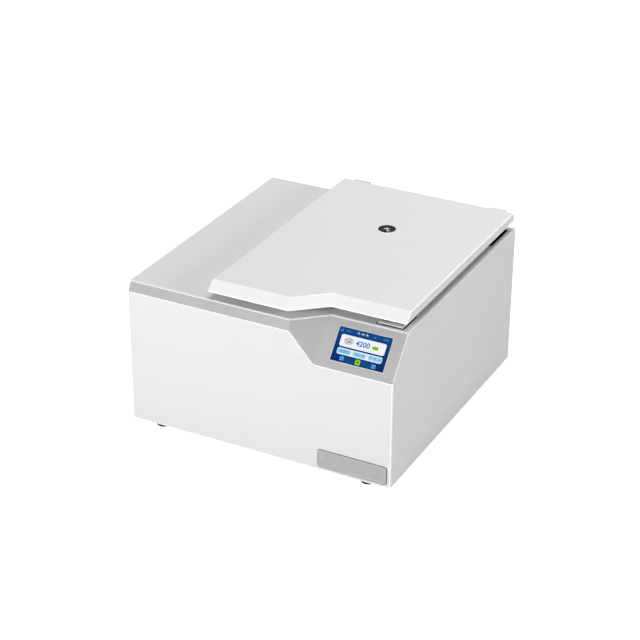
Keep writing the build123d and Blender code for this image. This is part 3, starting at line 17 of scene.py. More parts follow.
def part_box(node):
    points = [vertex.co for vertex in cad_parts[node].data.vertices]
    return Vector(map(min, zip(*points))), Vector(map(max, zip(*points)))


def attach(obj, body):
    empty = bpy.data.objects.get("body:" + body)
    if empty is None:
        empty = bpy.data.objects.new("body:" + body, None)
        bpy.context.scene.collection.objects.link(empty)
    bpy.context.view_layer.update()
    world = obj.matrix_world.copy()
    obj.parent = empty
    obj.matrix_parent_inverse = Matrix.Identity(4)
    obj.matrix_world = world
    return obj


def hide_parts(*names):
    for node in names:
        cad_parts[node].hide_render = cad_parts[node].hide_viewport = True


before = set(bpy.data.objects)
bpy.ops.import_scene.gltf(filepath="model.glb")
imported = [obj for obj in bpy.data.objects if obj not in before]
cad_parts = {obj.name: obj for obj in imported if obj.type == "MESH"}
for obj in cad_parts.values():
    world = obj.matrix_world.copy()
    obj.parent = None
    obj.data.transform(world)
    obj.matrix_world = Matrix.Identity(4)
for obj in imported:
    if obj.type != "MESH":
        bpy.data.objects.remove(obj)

LOG = logging.getLogger("centrifuge")
MM = 0.001


# Finishes

class Skin(Enum):
    """The kind of surface that a finish has."""

    PAINT = "paint"
    BRUSHED = "brushed"
    TURNED = "turned"
    MOULDED = "moulded"
    RUBBER = "rubber"
    FOAM = "foam"
    TUBE = "tube"
    BOARD = "board"
    GLASS = "glass"
    LENS = "lens"
    LIT = "lit"


@dataclass(frozen=True)
class Finish:
    """One surface finish.

    Args:
        name: the material's name.
        skin: the kind of surface.
        color: its main linear colour.
        other: the linear colour that it varies towards, such as a worn edge, dust or a film; on paint, the
            lighter edge colour is a painted highlight.
        roughness: its mean roughness.
        metal: 1 for a bare metal, 0 otherwise.
        grain: the size of its grain, in metres.
        relief: how deep its grain is, in metres.
        edge: how far convex and concave edges take the other colour, from 0 to 1.
        coat: the weight of a clear coat.
        axis: where the turning axis of a turned surface or of a lens stands, in the model's frame. A
            lit screen has the heights of its lower and upper edge here.
        glow: the strength of its own light; on the port's lip, which is no lamp, a painted glow.
        painted_glint: how brightly its edges give off light as a painted highlight, and on a lens how bright its
            painted reflections are.
        reach: how far from an edge the painted glint and the lighter, painted highlight colour reach, in metres.
        shine: how strong its mirror reflections are, with 0.5 as usual.
    """

    name: str
    skin: Skin
    color: tuple[float, float, float]
    other: tuple[float, float, float]
    roughness: float = 0.4
    metal: float = 0.0
    grain: float = 0.0012
    relief: float = 0.00002
    edge: float = 0.5
    coat: float = 0.0
    axis: tuple[float, float, float] = (0.0, 0.0, 0.0)
    glow: float = 0.0
    painted_glint: float = 0.0
    reach: float = 0.002
    shine: float = 0.5


WHITE = (0.92, 0.92, 0.93)
SPINDLE = (89.7 * MM, 102.45 * MM, 0.0)

# The glint on these paints' edges is a painted highlight: their edges give off white light, and the paint turns
# lighter there. FRONT is PANEL's paint with a stronger painted glint.
PANEL = Finish("panel_paint", Skin.PAINT, (0.80, 0.80, 0.805), WHITE, 0.38, edge=0.9, painted_glint=0.3)
FRONT = Finish("front_paint", Skin.PAINT, (0.80, 0.80, 0.805), WHITE, 0.38, edge=0.9, painted_glint=0.9, reach=2.6 * MM)
DECK = Finish("deck_paint", Skin.PAINT, (0.76, 0.76, 0.765), WHITE, 0.40, edge=0.6, painted_glint=0.18, reach=1.0 * MM)
TRIM = Finish("trim_paint", Skin.PAINT, (0.42, 0.42, 0.425), WHITE, 0.42, edge=0.5, painted_glint=0.25, reach=0.9 * MM)
LID = Finish(
    "lid_paint", Skin.PAINT, (0.83, 0.83, 0.835), (0.97, 0.97, 0.97), 0.32, edge=0.9, coat=0.15,
    painted_glint=0.5, reach=3.2 * MM,
)
LOCK = Finish("lock_paint", Skin.PAINT, (0.80, 0.80, 0.805), (0.86, 0.86, 0.86), 0.42, edge=0.3)
HINGE = Finish(
    "bright_zinc", Skin.BRUSHED, (0.80, 0.80, 0.81), (0.66, 0.66, 0.68), 0.5, 0.35, 0.004, 0.00001, 0.3
)
ZINC = Finish(
    "zinc_plate", Skin.BRUSHED, (0.56, 0.58, 0.60), (0.42, 0.44, 0.47), 0.42, 1.0, 0.004, 0.00001, 0.3
)
BOWL_STEEL = Finish(
    "bowl_steel", Skin.TURNED, (0.63, 0.63, 0.62), (0.50, 0.50, 0.50), 0.28, 1.0, 0.0006, 0.00001, 0.3,
    axis=SPINDLE,
)
STEEL = Finish("bright_steel", Skin.BRUSHED, (0.60, 0.60, 0.60), (0.45, 0.45, 0.46), 0.3, 1.0, 0.002, 0.000008)
CHROME = Finish("chrome_rod", Skin.BRUSHED, (0.80, 0.80, 0.81), (0.70, 0.70, 0.72), 0.12, 1.0, 0.003, 0.000002)
BADGE = Finish(
    "badge_satin", Skin.BRUSHED, (0.66, 0.665, 0.655), (0.22, 0.225, 0.22), 0.5, 0.25, 0.006, 0.000008, 0.9
)
BEZEL = Finish(
    "bezel_satin", Skin.BRUSHED, (0.50, 0.52, 0.56), (0.72, 0.74, 0.78), 0.4, 0.2, 0.004, 0.000006, 0.5
)
ROTOR = Finish(
    "rotor_anodised", Skin.TURNED, (0.36, 0.37, 0.39), (0.24, 0.25, 0.27), 0.36, 1.0, 0.0005, 0.00001, 0.6,
    axis=SPINDLE,
)
BUCKET = Finish(
    "bucket_anodised", Skin.BRUSHED, (0.55, 0.56, 0.58), (0.40, 0.41, 0.43), 0.36, 1.0, 0.002, 0.000008, 0.6
)
SHAFT = Finish(
    "shaft_steel", Skin.TURNED, (0.58, 0.58, 0.58), (0.40, 0.40, 0.41), 0.24, 1.0, 0.0008, 0.000006,
    axis=SPINDLE,
)
FINS = Finish("fin_alloy", Skin.BRUSHED, (0.68, 0.69, 0.70), (0.50, 0.51, 0.52), 0.35, 1.0, 0.003, 0.00001)
CAST = Finish("motor_paint", Skin.MOULDED, (0.055, 0.06, 0.066), (0.13, 0.135, 0.14), 0.55, 0.0, 0.0018, 0.00006)
GLOSS_BLACK = Finish(
    "gloss_black_paint", Skin.PAINT, (0.012, 0.012, 0.013), (0.05, 0.05, 0.052), 0.22, edge=0.3, coat=0.5
)
STRUT_BLACK = Finish(
    "strut_paint", Skin.PAINT, (0.006, 0.006, 0.006), (0.03, 0.03, 0.03), 0.5, edge=0.1, shine=0.3
)
BLACK_PLASTIC = Finish(
    "black_moulding", Skin.MOULDED, (0.018, 0.018, 0.02), (0.05, 0.05, 0.053), 0.5, 0.0, 0.0007, 0.00002
)
# Near-black, for the lock's black pad and the seal round it; the seal's dark outline is partly a painted shadow
# in the gap round the plate.
DARK_PAD = Finish(
    "dark_pad", Skin.MOULDED, (0.004, 0.004, 0.004), (0.008, 0.008, 0.008), 0.6, 0.0, 0.0007, 0.00002, 0.2,
    shine=0.2,
)
PLUG = Finish("lid_liner", Skin.MOULDED, (0.19, 0.19, 0.205), (0.27, 0.27, 0.28), 0.48, 0.0, 0.0012, 0.00003)
NUT = Finish("knob_moulding", Skin.MOULDED, (0.03, 0.03, 0.033), (0.09, 0.09, 0.095), 0.42, 0.0, 0.0008, 0.00002)
ROCKER = Finish(
    "rocker_gloss", Skin.MOULDED, (0.012, 0.012, 0.012), (0.05, 0.05, 0.05), 0.18, 0.0, 0.002, 0.000004
)
RUBBER = Finish(
    "foot_rubber", Skin.RUBBER, (0.005, 0.005, 0.005), (0.016, 0.015, 0.015), 0.8, 0.0, 0.0009, 0.00004,
    shine=0.15,
)
GASKET = Finish("gasket_rubber", Skin.RUBBER, (0.05, 0.05, 0.054), (0.12, 0.12, 0.12), 0.62, 0.0, 0.0009, 0.00003)
FOAM = Finish("insulating_foam", Skin.FOAM, (0.70, 0.60, 0.36), (0.52, 0.40, 0.18), 0.85, 0.0, 0.0022, 0.0003)
COPPER = Finish("copper_tube", Skin.TUBE, (0.72, 0.34, 0.20), (0.33, 0.13, 0.07), 0.3, 1.0, 0.012, 0.000006, 0.2)
BOARD = Finish("circuit_board", Skin.BOARD, (0.012, 0.115, 0.045), (0.03, 0.22, 0.10), 0.38, 0.0, 0.004, 0.00003)
PORT_RING = Finish(
    "port_moulding", Skin.MOULDED, (0.010, 0.010, 0.011), (0.06, 0.06, 0.062), 0.4, 0.0, 0.0008, 0.000008, 0.5,
    shine=0.25,
)
PORT_GLASS = Finish("port_glass", Skin.GLASS, (0.80, 0.84, 0.85), (0.5, 0.5, 0.5), 0.03, 0.0, 0.02, 0.0)

DRESSING = (
    (ZINC, ("base_pan", "partition_wall", "lid_base_plate", "strut_brackets", "motor_plate")),
    (FRONT, ("front_panel",)),
    (PANEL, ("left_side_panel", "right_side_panel", "rear_panel")),
    (DECK, ("top_cover",)),
    (TRIM, ("front_trim",)),
    (RUBBER, ("rubber_feet", "rubber_mounts")),
    (STEEL, ("panel_screws", "lock_bolt", "lid_hook", "hinge_pins", "strut_studs", "stator")),
    (BADGE, ("badge_plate",)),
    (BEZEL, ("display_bezel",)),
    (ROCKER, ("touch_display", "switch_rocker")),
    (BOARD, ("control_board", "drive_board")),
    (DARK_PAD, ("lock_pad",)),
    (LOCK, ("lock_plate",)),
    (BLACK_PLASTIC, ("lock_housing", "fan_frame", "fan_blades", "power_inlet", "switch_frame")),
    (BOWL_STEEL, ("chamber_bowl",)),
    (GASKET, ("chamber_gasket", "shaft_boot")),
    (FOAM, ("chamber_insulation",)),
    (COPPER, ("evaporator_coil", "refrigerant_lines")),
    (LID, ("lid_shell",)),
    (PLUG, ("lid_plug",)),
    (PORT_RING, ("port_bezel",)),
    (PORT_GLASS, ("port_windows",)),
    (HINGE, ("hinge_leaves", "lid_knuckles")),
    (STRUT_BLACK, ("strut_cylinder_left", "strut_cylinder_right")),
    (CHROME, ("strut_rod_left", "strut_rod_right")),
    (ROTOR, ("rotor_head",)),
    (NUT, ("rotor_nut",)),
    (BUCKET, ("bucket_right", "bucket_back", "bucket_left", "bucket_front")),
    (SHAFT, ("drive_shaft", "motor_bearings")),
    (CAST, ("motor_housing",)),
    (GLOSS_BLACK, ("compressor",)),
    (FINS, ("condenser",)),
)
NODE_FINISHES = {node: finish for finish, nodes in DRESSING for node in nodes}


class ShaderSketch:
    """A short way to add nodes to one shader tree and to link them."""

    def __init__(self, tree: bpy.types.NodeTree) -> None:
        self.tree = tree

    def node(self, kind: str, **settings: object) -> bpy.types.Node:
        """Adds a node and sets its properties, and its sockets by their names.

        Args:
            kind: the node's bl_idname.
            settings: properties, or socket names with underscores for spaces.

        Returns:
            The node.
        """
        node = self.tree.nodes.new(kind)
        for key, value in settings.items():
            if hasattr(node, key):
                setattr(node, key, value)
            else:
                self.feed(node.inputs[key.replace("_", " ")], value)
        return node

    def feed(self, socket: bpy.types.NodeSocket, value: object) -> None:
        """Links a socket to another socket, or sets its constant.

        Args:
            socket: the input.
            value: an output socket, a number or a colour of three or four numbers.
        """
        if isinstance(value, bpy.types.NodeSocket):
            self.tree.links.new(value, socket)
        elif isinstance(value, tuple) and socket.type == "RGBA" and len(value) == 3:
            socket.default_value = (*value, 1.0)
        else:
            socket.default_value = value

    def math(self, operation: str, *values: object, clamp: bool = False) -> bpy.types.NodeSocket:
        """Adds a Math node.

        Args:
            operation: the operation's name.
            values: its inputs, sockets or numbers.
            clamp: whether its result stays between 0 and 1.

        Returns:
            Its output socket.
        """
        node = self.node("ShaderNodeMath", operation=operation, use_clamp=clamp)
        for socket, value in zip(node.inputs, values):
            self.feed(socket, value)
        return node.outputs[0]

    def vector_math(self, operation: str, *values: object) -> bpy.types.Node:
        """Adds a Vector Math node.

        Args:
            operation: the operation's name.
            values: its inputs, sockets or vectors.

        Returns:
            The node.
        """
        node = self.node("ShaderNodeVectorMath", operation=operation)
        for socket, value in zip(node.inputs, values):
            self.feed(socket, value)
        return node

    def mix(self, factor: object, first: object, second: object) -> bpy.types.NodeSocket:
        """Adds a colour Mix node.

        Args:
            factor: how much of the second colour.
            first: the first colour.
            second: the second colour.

        Returns:
            Its output socket.
        """
        node = self.node("ShaderNodeMix", data_type="RGBA")
        self.feed(node.inputs["Factor"], factor)
        self.feed(node.inputs[6], first)
        self.feed(node.inputs[7], second)
        return node.outputs[2]

    def noise(self, vector: bpy.types.NodeSocket, size: object, detail: float = 3.0) -> bpy.types.NodeSocket:
        """Adds noise of a given grain size.

        Args:
            vector: the coordinates.
            size: the grain size in metres, a socket or a number.
            detail: how many octaves it has.

        Returns:
            The noise value's socket.
        """
        scale = self.math("DIVIDE", 1.0, size)
        return self.node("ShaderNodeTexNoise", Vector=vector, Scale=scale, Detail=detail).outputs[0]


GROUP_INPUTS = {
    "Color": "Color", "Other": "Color", "Roughness": "Float", "Grain": "Float",
    "Relief": "Float", "Edge": "Float", "Reach": "Float", "Axis": "Vector",
}
# The Edge output is a mask of painted light that the material gives off: glints along paint edges, and a lens's
# painted reflections.
GROUP_OUTPUTS = {"Color": "Color", "Roughness": "Float", "Normal": "Vector", "Edge": "Float"}
EDGE_GAIN = 10.0
METAL_EDGE, MOULDED_EDGE, RUBBER_EDGE = 0.8 * MM, 0.7 * MM, 0.9 * MM
RUBBED = (0.9, 0.9, 0.9)


class SurfaceGroup(ShaderSketch):
    """A surface's node group, with the sockets that all of them share."""

    def __init__(self, name: str) -> None:
        super().__init__(bpy.data.node_groups.new(name, "ShaderNodeTree"))
        for way, sockets in (("INPUT", GROUP_INPUTS), ("OUTPUT", GROUP_OUTPUTS)):
            for label, kind in sockets.items():
                self.tree.interface.new_socket(label, in_out=way, socket_type="NodeSocket" + kind)
        self.given = self.node("NodeGroupInput").outputs
        self.out = self.node("NodeGroupOutput").inputs
        self.where = self.node("ShaderNodeTexCoord").outputs["Object"]

    def flat(self) -> bpy.types.NodeSocket:
        """Gives the surface's own normal."""
        return self.node("ShaderNodeNewGeometry").outputs["Normal"]

    def edges(self, radius: object) -> tuple[bpy.types.NodeSocket, bpy.types.NodeSocket]:
        """Finds the edges of the surface.

        Args:
            radius: how far from an edge it reaches, in metres.

        Returns:
            A mask that is 1 at an edge, and the normal rounded over it.
        """
        rounded = self.node("ShaderNodeBevel", samples=4, Radius=radius).outputs["Normal"]
        cosine = self.vector_math("DOT_PRODUCT", rounded, self.flat()).outputs["Value"]
        return self.math("MULTIPLY", self.math("SUBTRACT", 1.0, cosine), EDGE_GAIN, clamp=True), rounded

    def worn(self, mask: bpy.types.NodeSocket, base: object, bare: object) -> bpy.types.NodeSocket:
        """Lets a colour turn to another one at the edges.

        Args:
            mask: where the edges are.
            base: the colour.
            bare: the colour at an edge.

        Returns:
            The mixed colour.
        """
        return self.mix(self.math("MULTIPLY", mask, self.given["Edge"]), base, bare)

    def tinted(self, factor: object) -> bpy.types.NodeSocket:
        """Mixes the finish's two colours.

        Args:
            factor: how much of the other colour.

        Returns:
            The mixed colour.
        """
        return self.mix(factor, self.given["Color"], self.given["Other"])

    def drifting(self, value: bpy.types.NodeSocket, amount: float) -> bpy.types.NodeSocket:
        """Lets the roughness follow a value that moves round one half.

        Args:
            value: the value.
            amount: how far the roughness moves with it.

        Returns:
            The roughness.
        """
        change = self.math("MULTIPLY", self.math("SUBTRACT", value, 0.5), amount)
        return self.math("ADD", self.given["Roughness"], change, clamp=True)

    def from_axis(self) -> list[bpy.types.NodeSocket]:
        """Measures from the finish's axis.

        Returns:
            X, Y and Z from its foot, and the distance to it.
        """
        offset = self.vector_math("SUBTRACT", self.where, self.given["Axis"]).outputs[0]
        x, y, z = self.node("ShaderNodeSeparateXYZ", Vector=offset).outputs
        square = self.math("ADD", self.math("MULTIPLY", x, x), self.math("MULTIPLY", y, y))
        return [x, y, z, self.math("SQRT", square)]

    def end(
        self, color: object, rough: object, height: object = None, normal: object = None
    ) -> bpy.types.NodeTree:
        """Feeds the group's outputs.

        Args:
            color: its colour.
            rough: its roughness.
            height: its relief, or nothing for a flat surface.
            normal: the normal that the relief starts from, or nothing for the surface's own.

        Returns:
            The group's tree.
        """
        if normal is None:
            normal = self.flat()
        if height is not None:
            depth = self.given["Relief"]
            bump = self.node("ShaderNodeBump", Strength=1.0, Height=height, Distance=depth, Normal=normal)
            normal = bump.outputs[0]
        for label, value in (("Color", color), ("Roughness", rough), ("Normal", normal)):
            self.feed(self.out[label], value)
        return self.tree

    def end_metal(self, lines: object, cloud: object, shares: tuple[float, ...]) -> bpy.types.NodeTree:
        """Ends a bare metal's group.

        Args:
            lines: its fine lines.
            cloud: its soft patches.
            shares: how much the lines and the patches count in the colour, how bright the rubbed
                edges are, and how far the roughness follows the lines.

        Returns:
            The group's tree.
        """
        mask, rounded = self.edges(METAL_EDGE)
        of_lines, of_cloud, rub, drift = shares
        tone = self.math("ADD", self.math("MULTIPLY", lines, of_lines), self.math("MULTIPLY", cloud, of_cloud))
        base = self.tinted(tone)
        color = self.worn(mask, base, self.mix(rub, base, RUBBED))
        return self.end(color, self.drifting(lines, drift), lines, rounded)


def paint_group() -> bpy.types.NodeTree:
    """Powder paint: a faint orange peel, a soft mottle, and edges that take the other colour, on most finishes a
    lighter painted highlight whose mask also goes out for the edges' painted glint.

    Returns:
        The group's tree.
    """
    s = SurfaceGroup("surface_paint")
    mask, rounded = s.edges(s.given["Reach"])
    # Painted highlight: the edges take the lighter other colour, and the same mask goes out for their painted
    # glint.
    edge_highlight = s.math("MULTIPLY", mask, s.given["Edge"])
    s.feed(s.out["Edge"], edge_highlight)
    color = s.mix(edge_highlight, s.tinted(s.math("MULTIPLY", s.noise(s.where, 120 * MM, 4.0), 0.10)), s.given["Other"])
    peel = s.noise(s.where, s.given["Grain"], 2.0)
    return s.end(color, s.drifting(s.noise(s.where, 30 * MM), 0.12), peel, rounded)


def brushed_group() -> bpy.types.NodeTree:
    """Brushed or rolled metal: long fine lines along X and slightly rubbed edges.

    Returns:
        The group's tree.
    """
    s = SurfaceGroup("surface_brushed")
    stretched = s.vector_math("MULTIPLY", s.where, (0.06, 1.0, 1.0)).outputs[0]
    lines = s.noise(stretched, s.math("MULTIPLY", s.given["Grain"], 0.2), 2.0)
    return s.end_metal(lines, s.noise(s.where, 35 * MM), (0.35, 0.3, 0.35, 0.25))


def turned_group() -> bpy.types.NodeTree:
    """Turned metal: fine rings round the axis and down the walls.

    Returns:
        The group's tree.
    """
    s = SurfaceGroup("surface_turned")
    _, _, z, radius = s.from_axis()
    rings = s.node("ShaderNodeCombineXYZ", X=radius, Z=z).outputs[0]
    lines = s.noise(rings, s.given["Grain"], 2.0)
    return s.end_metal(lines, s.noise(s.where, 50 * MM), (0.4, 0.25, 0.4, 0.2))


def moulded_group() -> bpy.types.NodeTree:
    """Moulded plastic or cast paint: a fine pebbled grain with lighter edges.

    Returns:
        The group's tree.
    """
    s = SurfaceGroup("surface_moulded")
    scale = s.math("DIVIDE", 1.0, s.given["Grain"])
    cells = s.node("ShaderNodeTexVoronoi", Vector=s.where, Scale=scale, feature="SMOOTH_F1").outputs["Distance"]
    mask, rounded = s.edges(MOULDED_EDGE)
    dust = s.math("MULTIPLY", s.noise(s.where, 20 * MM, 4.0), 0.25)
    return s.end(s.worn(mask, s.tinted(dust), s.given["Other"]), s.drifting(cells, 0.12), cells, rounded)


def rubber_group() -> bpy.types.NodeTree:
    """Matt rubber: a dusty bloom over a fine uneven grain.

    Returns:
        The group's tree.
    """
    s = SurfaceGroup("surface_rubber")
    grain = s.noise(s.where, s.given["Grain"], 4.0)
    bloom = s.noise(s.where, 14 * MM, 5.0)
    mask, rounded = s.edges(RUBBER_EDGE)
    dusty = s.math("MULTIPLY", s.math("SUBTRACT", bloom, 0.35, clamp=True), 0.8)
    return s.end(s.worn(mask, s.tinted(dusty), s.given["Other"]), s.drifting(bloom, 0.2), grain, rounded)


def foam_group() -> bpy.types.NodeTree:
    """Cut insulating foam: open cells of two sizes, darker in their hollows.

    Returns:
        The group's tree.
    """
    s = SurfaceGroup("surface_foam")
    scale = s.math("DIVIDE", 1.0, s.given["Grain"])
    cells = s.node("ShaderNodeTexVoronoi", Vector=s.where, Scale=scale).outputs["Distance"]
    shade = s.math("MULTIPLY", s.math("ADD", cells, s.noise(s.where, 18 * MM, 4.0)), 0.5, clamp=True)
    return s.end(s.mix(shade, s.given["Other"], s.given["Color"]), s.given["Roughness"], cells)


def tube_group() -> bpy.types.NodeTree:
    """Drawn copper: bright metal under a patchy brown film.

    Returns:
        The group's tree.
    """
    s = SurfaceGroup("surface_tube")
    patches = s.noise(s.where, s.given["Grain"], 5.0)
    film = s.math("MULTIPLY", s.math("SUBTRACT", patches, 0.42, clamp=True), 2.2, clamp=True)
    rough = s.math("ADD", s.given["Roughness"], s.math("MULTIPLY", film, 0.3))
    return s.end(s.tinted(film), rough, s.noise(s.where, 1.2 * MM, 2.0))


def board_group() -> bpy.types.NodeTree:
    """A circuit board: raised traces in a square pattern under green lacquer.

    Returns:
        The group's tree.
    """
    s = SurfaceGroup("surface_board")
    scale = s.math("DIVIDE", 1.0, s.given["Grain"])
    cells = s.node("ShaderNodeTexVoronoi", Vector=s.where, Scale=scale, distance="CHEBYCHEV").outputs["Distance"]
    trace = s.math("GREATER_THAN", s.math("FRACT", s.math("MULTIPLY", cells, 4.0)), 0.7)
    return s.end(s.tinted(trace), s.given["Roughness"], trace)


def lit_group() -> bpy.types.NodeTree:
    """A lit screen: a grid of pixels, and a fade from its lower edge (Axis X) to its upper (Axis Y).

    Returns:
        The group's tree.
    """
    s = SurfaceGroup("surface_lit")
    x, _, z = s.node("ShaderNodeSeparateXYZ", Vector=s.where).outputs
    low, high, _ = s.node("ShaderNodeSeparateXYZ", Vector=s.given["Axis"]).outputs
    fade = s.math("DIVIDE", s.math("SUBTRACT", z, low), s.math("SUBTRACT", high, low), clamp=True)
    gaps = [
        s.math("LESS_THAN", s.math("FRACT", s.math("DIVIDE", place, s.given["Grain"])), 0.14) for place in (x, z)
    ]
    dark = s.math("MULTIPLY", s.math("MAXIMUM", *gaps), 0.35)
    return s.end(s.mix(dark, s.tinted(fade), (0.0, 0.0, 0.0)), s.given["Roughness"])


def lens_group() -> bpy.types.NodeTree:
    """A thick lens: glass whose dark colour is a painted shade for the unlit chamber under it, with bright uneven
    painted reflections, given off as light, that fan out from its middle (Axis).

    Returns:
        The group's tree.
    """
    s = SurfaceGroup("surface_lens_painted_light")
    arms, reach, gain, waver = 4.0, 8.5 * MM, 2.6, 5.0 * MM
    x, y, _, radius = s.from_axis()
    turn = s.math("ADD", s.math("ARCTAN2", y, x), s.math("MULTIPLY", s.noise(s.where, waver, 1.0), 2.0))
    fan = s.math("ADD", s.math("MULTIPLY", s.math("COSINE", s.math("MULTIPLY", turn, arms)), 0.5), 0.5)
    fade = s.math("SUBTRACT", 1.0, s.math("DIVIDE", radius, reach), clamp=True)
    # Painted reflections: bright fans round the middle, given off as light.
    painted_reflections = s.math("SUBTRACT", s.math("ADD", fan, fade), 1.0, clamp=True)
    s.feed(s.out["Edge"], s.math("MULTIPLY", painted_reflections, gain, clamp=True))
    return s.end(s.given["Color"], s.given["Roughness"])


GROUP_MAKERS = {
    Skin.PAINT: paint_group,
    Skin.BRUSHED: brushed_group,
    Skin.TURNED: turned_group,
    Skin.MOULDED: moulded_group,
    Skin.RUBBER: rubber_group,
    Skin.FOAM: foam_group,
    Skin.TUBE: tube_group,
    Skin.BOARD: board_group,
    Skin.GLASS: paint_group,
    Skin.LENS: lens_group,
    Skin.LIT: lit_group,
}


class Paintbox:
    """Makes each material and each surface group once."""

    def __init__(self) -> None:
        self.groups: dict[object, bpy.types.NodeTree] = {}
        self.materials: dict[str, bpy.types.Material] = {}

    def material(self, finish: Finish) -> bpy.types.Material:
        """Gives the material of a finish.

        Args:
            finish: the finish.

        Returns:
            The material, made at the first call.
        """
        if finish.name not in self.materials:
            self.materials[finish.name] = self.make(finish)
        return self.materials[finish.name]

    def make(self, finish: Finish) -> bpy.types.Material:
        """Makes the material of a finish.

        Args:
            finish: the finish.

        Returns:
            The new material.
        """
        maker = GROUP_MAKERS[finish.skin]
        if maker not in self.groups:
            self.groups[maker] = maker()
        material = bpy.data.materials.new(finish.name)
        material.use_nodes = True
        material.node_tree.nodes.clear()
        sketch = ShaderSketch(material.node_tree)
        surface = sketch.node("ShaderNodeGroup", node_tree=self.groups[maker])
        for label, value in (
            ("Color", finish.color),
            ("Other", finish.other),
            ("Roughness", finish.roughness),
            ("Grain", finish.grain),
            ("Relief", finish.relief),
            ("Edge", finish.edge),
            ("Reach", finish.reach),
            ("Axis", finish.axis),
        ):
            sketch.feed(surface.inputs[label], value)
        shader = sketch.node("ShaderNodeBsdfPrincipled")
        shader.inputs["Metallic"].default_value = finish.metal
        shader.inputs["Coat Weight"].default_value = finish.coat
        shader.inputs["Coat Roughness"].default_value = 0.12
        shader.inputs["Specular IOR Level"].default_value = finish.shine
        for label, source in (("Base Color", "Color"), ("Roughness", "Roughness"), ("Normal", "Normal")):
            sketch.feed(shader.inputs[label], surface.outputs[source])
        if finish.skin is Skin.GLASS:
            shader.inputs["Transmission Weight"].default_value = 0.85
            shader.inputs["IOR"].default_value = 1.5
        # Its own light: real on a lit screen, a painted glow on the port's lip.
        if finish.glow > 0:
            sketch.feed(shader.inputs["Emission Color"], surface.outputs["Color"])
            shader.inputs["Emission Strength"].default_value = finish.glow
        # Painted highlight: the edge mask makes edges give off white light, and a lens its painted reflections.
        if finish.painted_glint > 0:
            shader.inputs["Emission Color"].default_value = (1.0, 1.0, 1.0, 1.0)
            painted_edge_light = sketch.math("MULTIPLY", surface.outputs["Edge"], finish.painted_glint)
            sketch.feed(shader.inputs["Emission Strength"], painted_edge_light)
        out = sketch.node("ShaderNodeOutputMaterial")
        sketch.feed(out.inputs["Surface"], shader.outputs[0])
        return material


PAINTBOX = Paintbox()


def dress_nodes() -> None:
    """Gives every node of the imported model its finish."""
    for name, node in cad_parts.items():
        material = PAINTBOX.material(NODE_FINISHES[name])
        if not node.material_slots:
            node.data.materials.append(material)
        for place in node.material_slots:
            place.material = material


# Mesh tools

CORNER_STEPS = 6
CAP_HEIGHT = 0.7
SMOOTH_ANGLE = math.radians(32)
Point = tuple[float, float]


def rounded_box(wide: float, high: float, radius: float, middle: Point = (0.0, 0.0)) -> list[Point]:
    """Makes the outline of a rounded rectangle, anticlockwise.

    Args:
        wide: its size along X.
        high: its size along Y.
        radius: its corner radius.
        middle: its centre.

    Returns:
        Its points.
    """
    points = []
    for index, (side_x, side_y) in enumerate(((1, 1), (-1, 1), (-1, -1), (1, -1))):
        corner_x = middle[0] + side_x * (wide / 2 - radius)
        corner_y = middle[1] + side_y * (high / 2 - radius)
        for step in range(CORNER_STEPS + 1):
            angle = math.pi / 2 * (index + step / CORNER_STEPS)
            points.append((corner_x + radius * math.cos(angle), corner_y + radius * math.sin(angle)))
    return points


def oval(wide: float, high: float, middle: Point = (0.0, 0.0), steps: int = 40) -> list[Point]:
    """Makes the outline of an ellipse, anticlockwise.

    Args:
        wide: its size along X.
        high: its size along Y.
        middle: its centre.
        steps: how many points it has.

    Returns:
        Its points.
    """
    angles = [math.tau * index / steps for index in range(steps)]
    return [(middle[0] + wide / 2 * math.cos(a), middle[1] + high / 2 * math.sin(a)) for a in angles]


def drawn_in(outline: list[Point], inset: float) -> list[Point]:
    """Moves every side of an anticlockwise outline inwards.

    Args:
        outline: its points.
        inset: how far.

    Returns:
        The new points, one for each old one.
    """
    moved = []
    for index, (x, y) in enumerate(outline):
        before, after = outline[index - 1], outline[(index + 1) % len(outline)]
        along = Vector((after[0] - before[0], after[1] - before[1])).normalized()
        moved.append((x - along.y * inset, y + along.x * inset))
    return moved


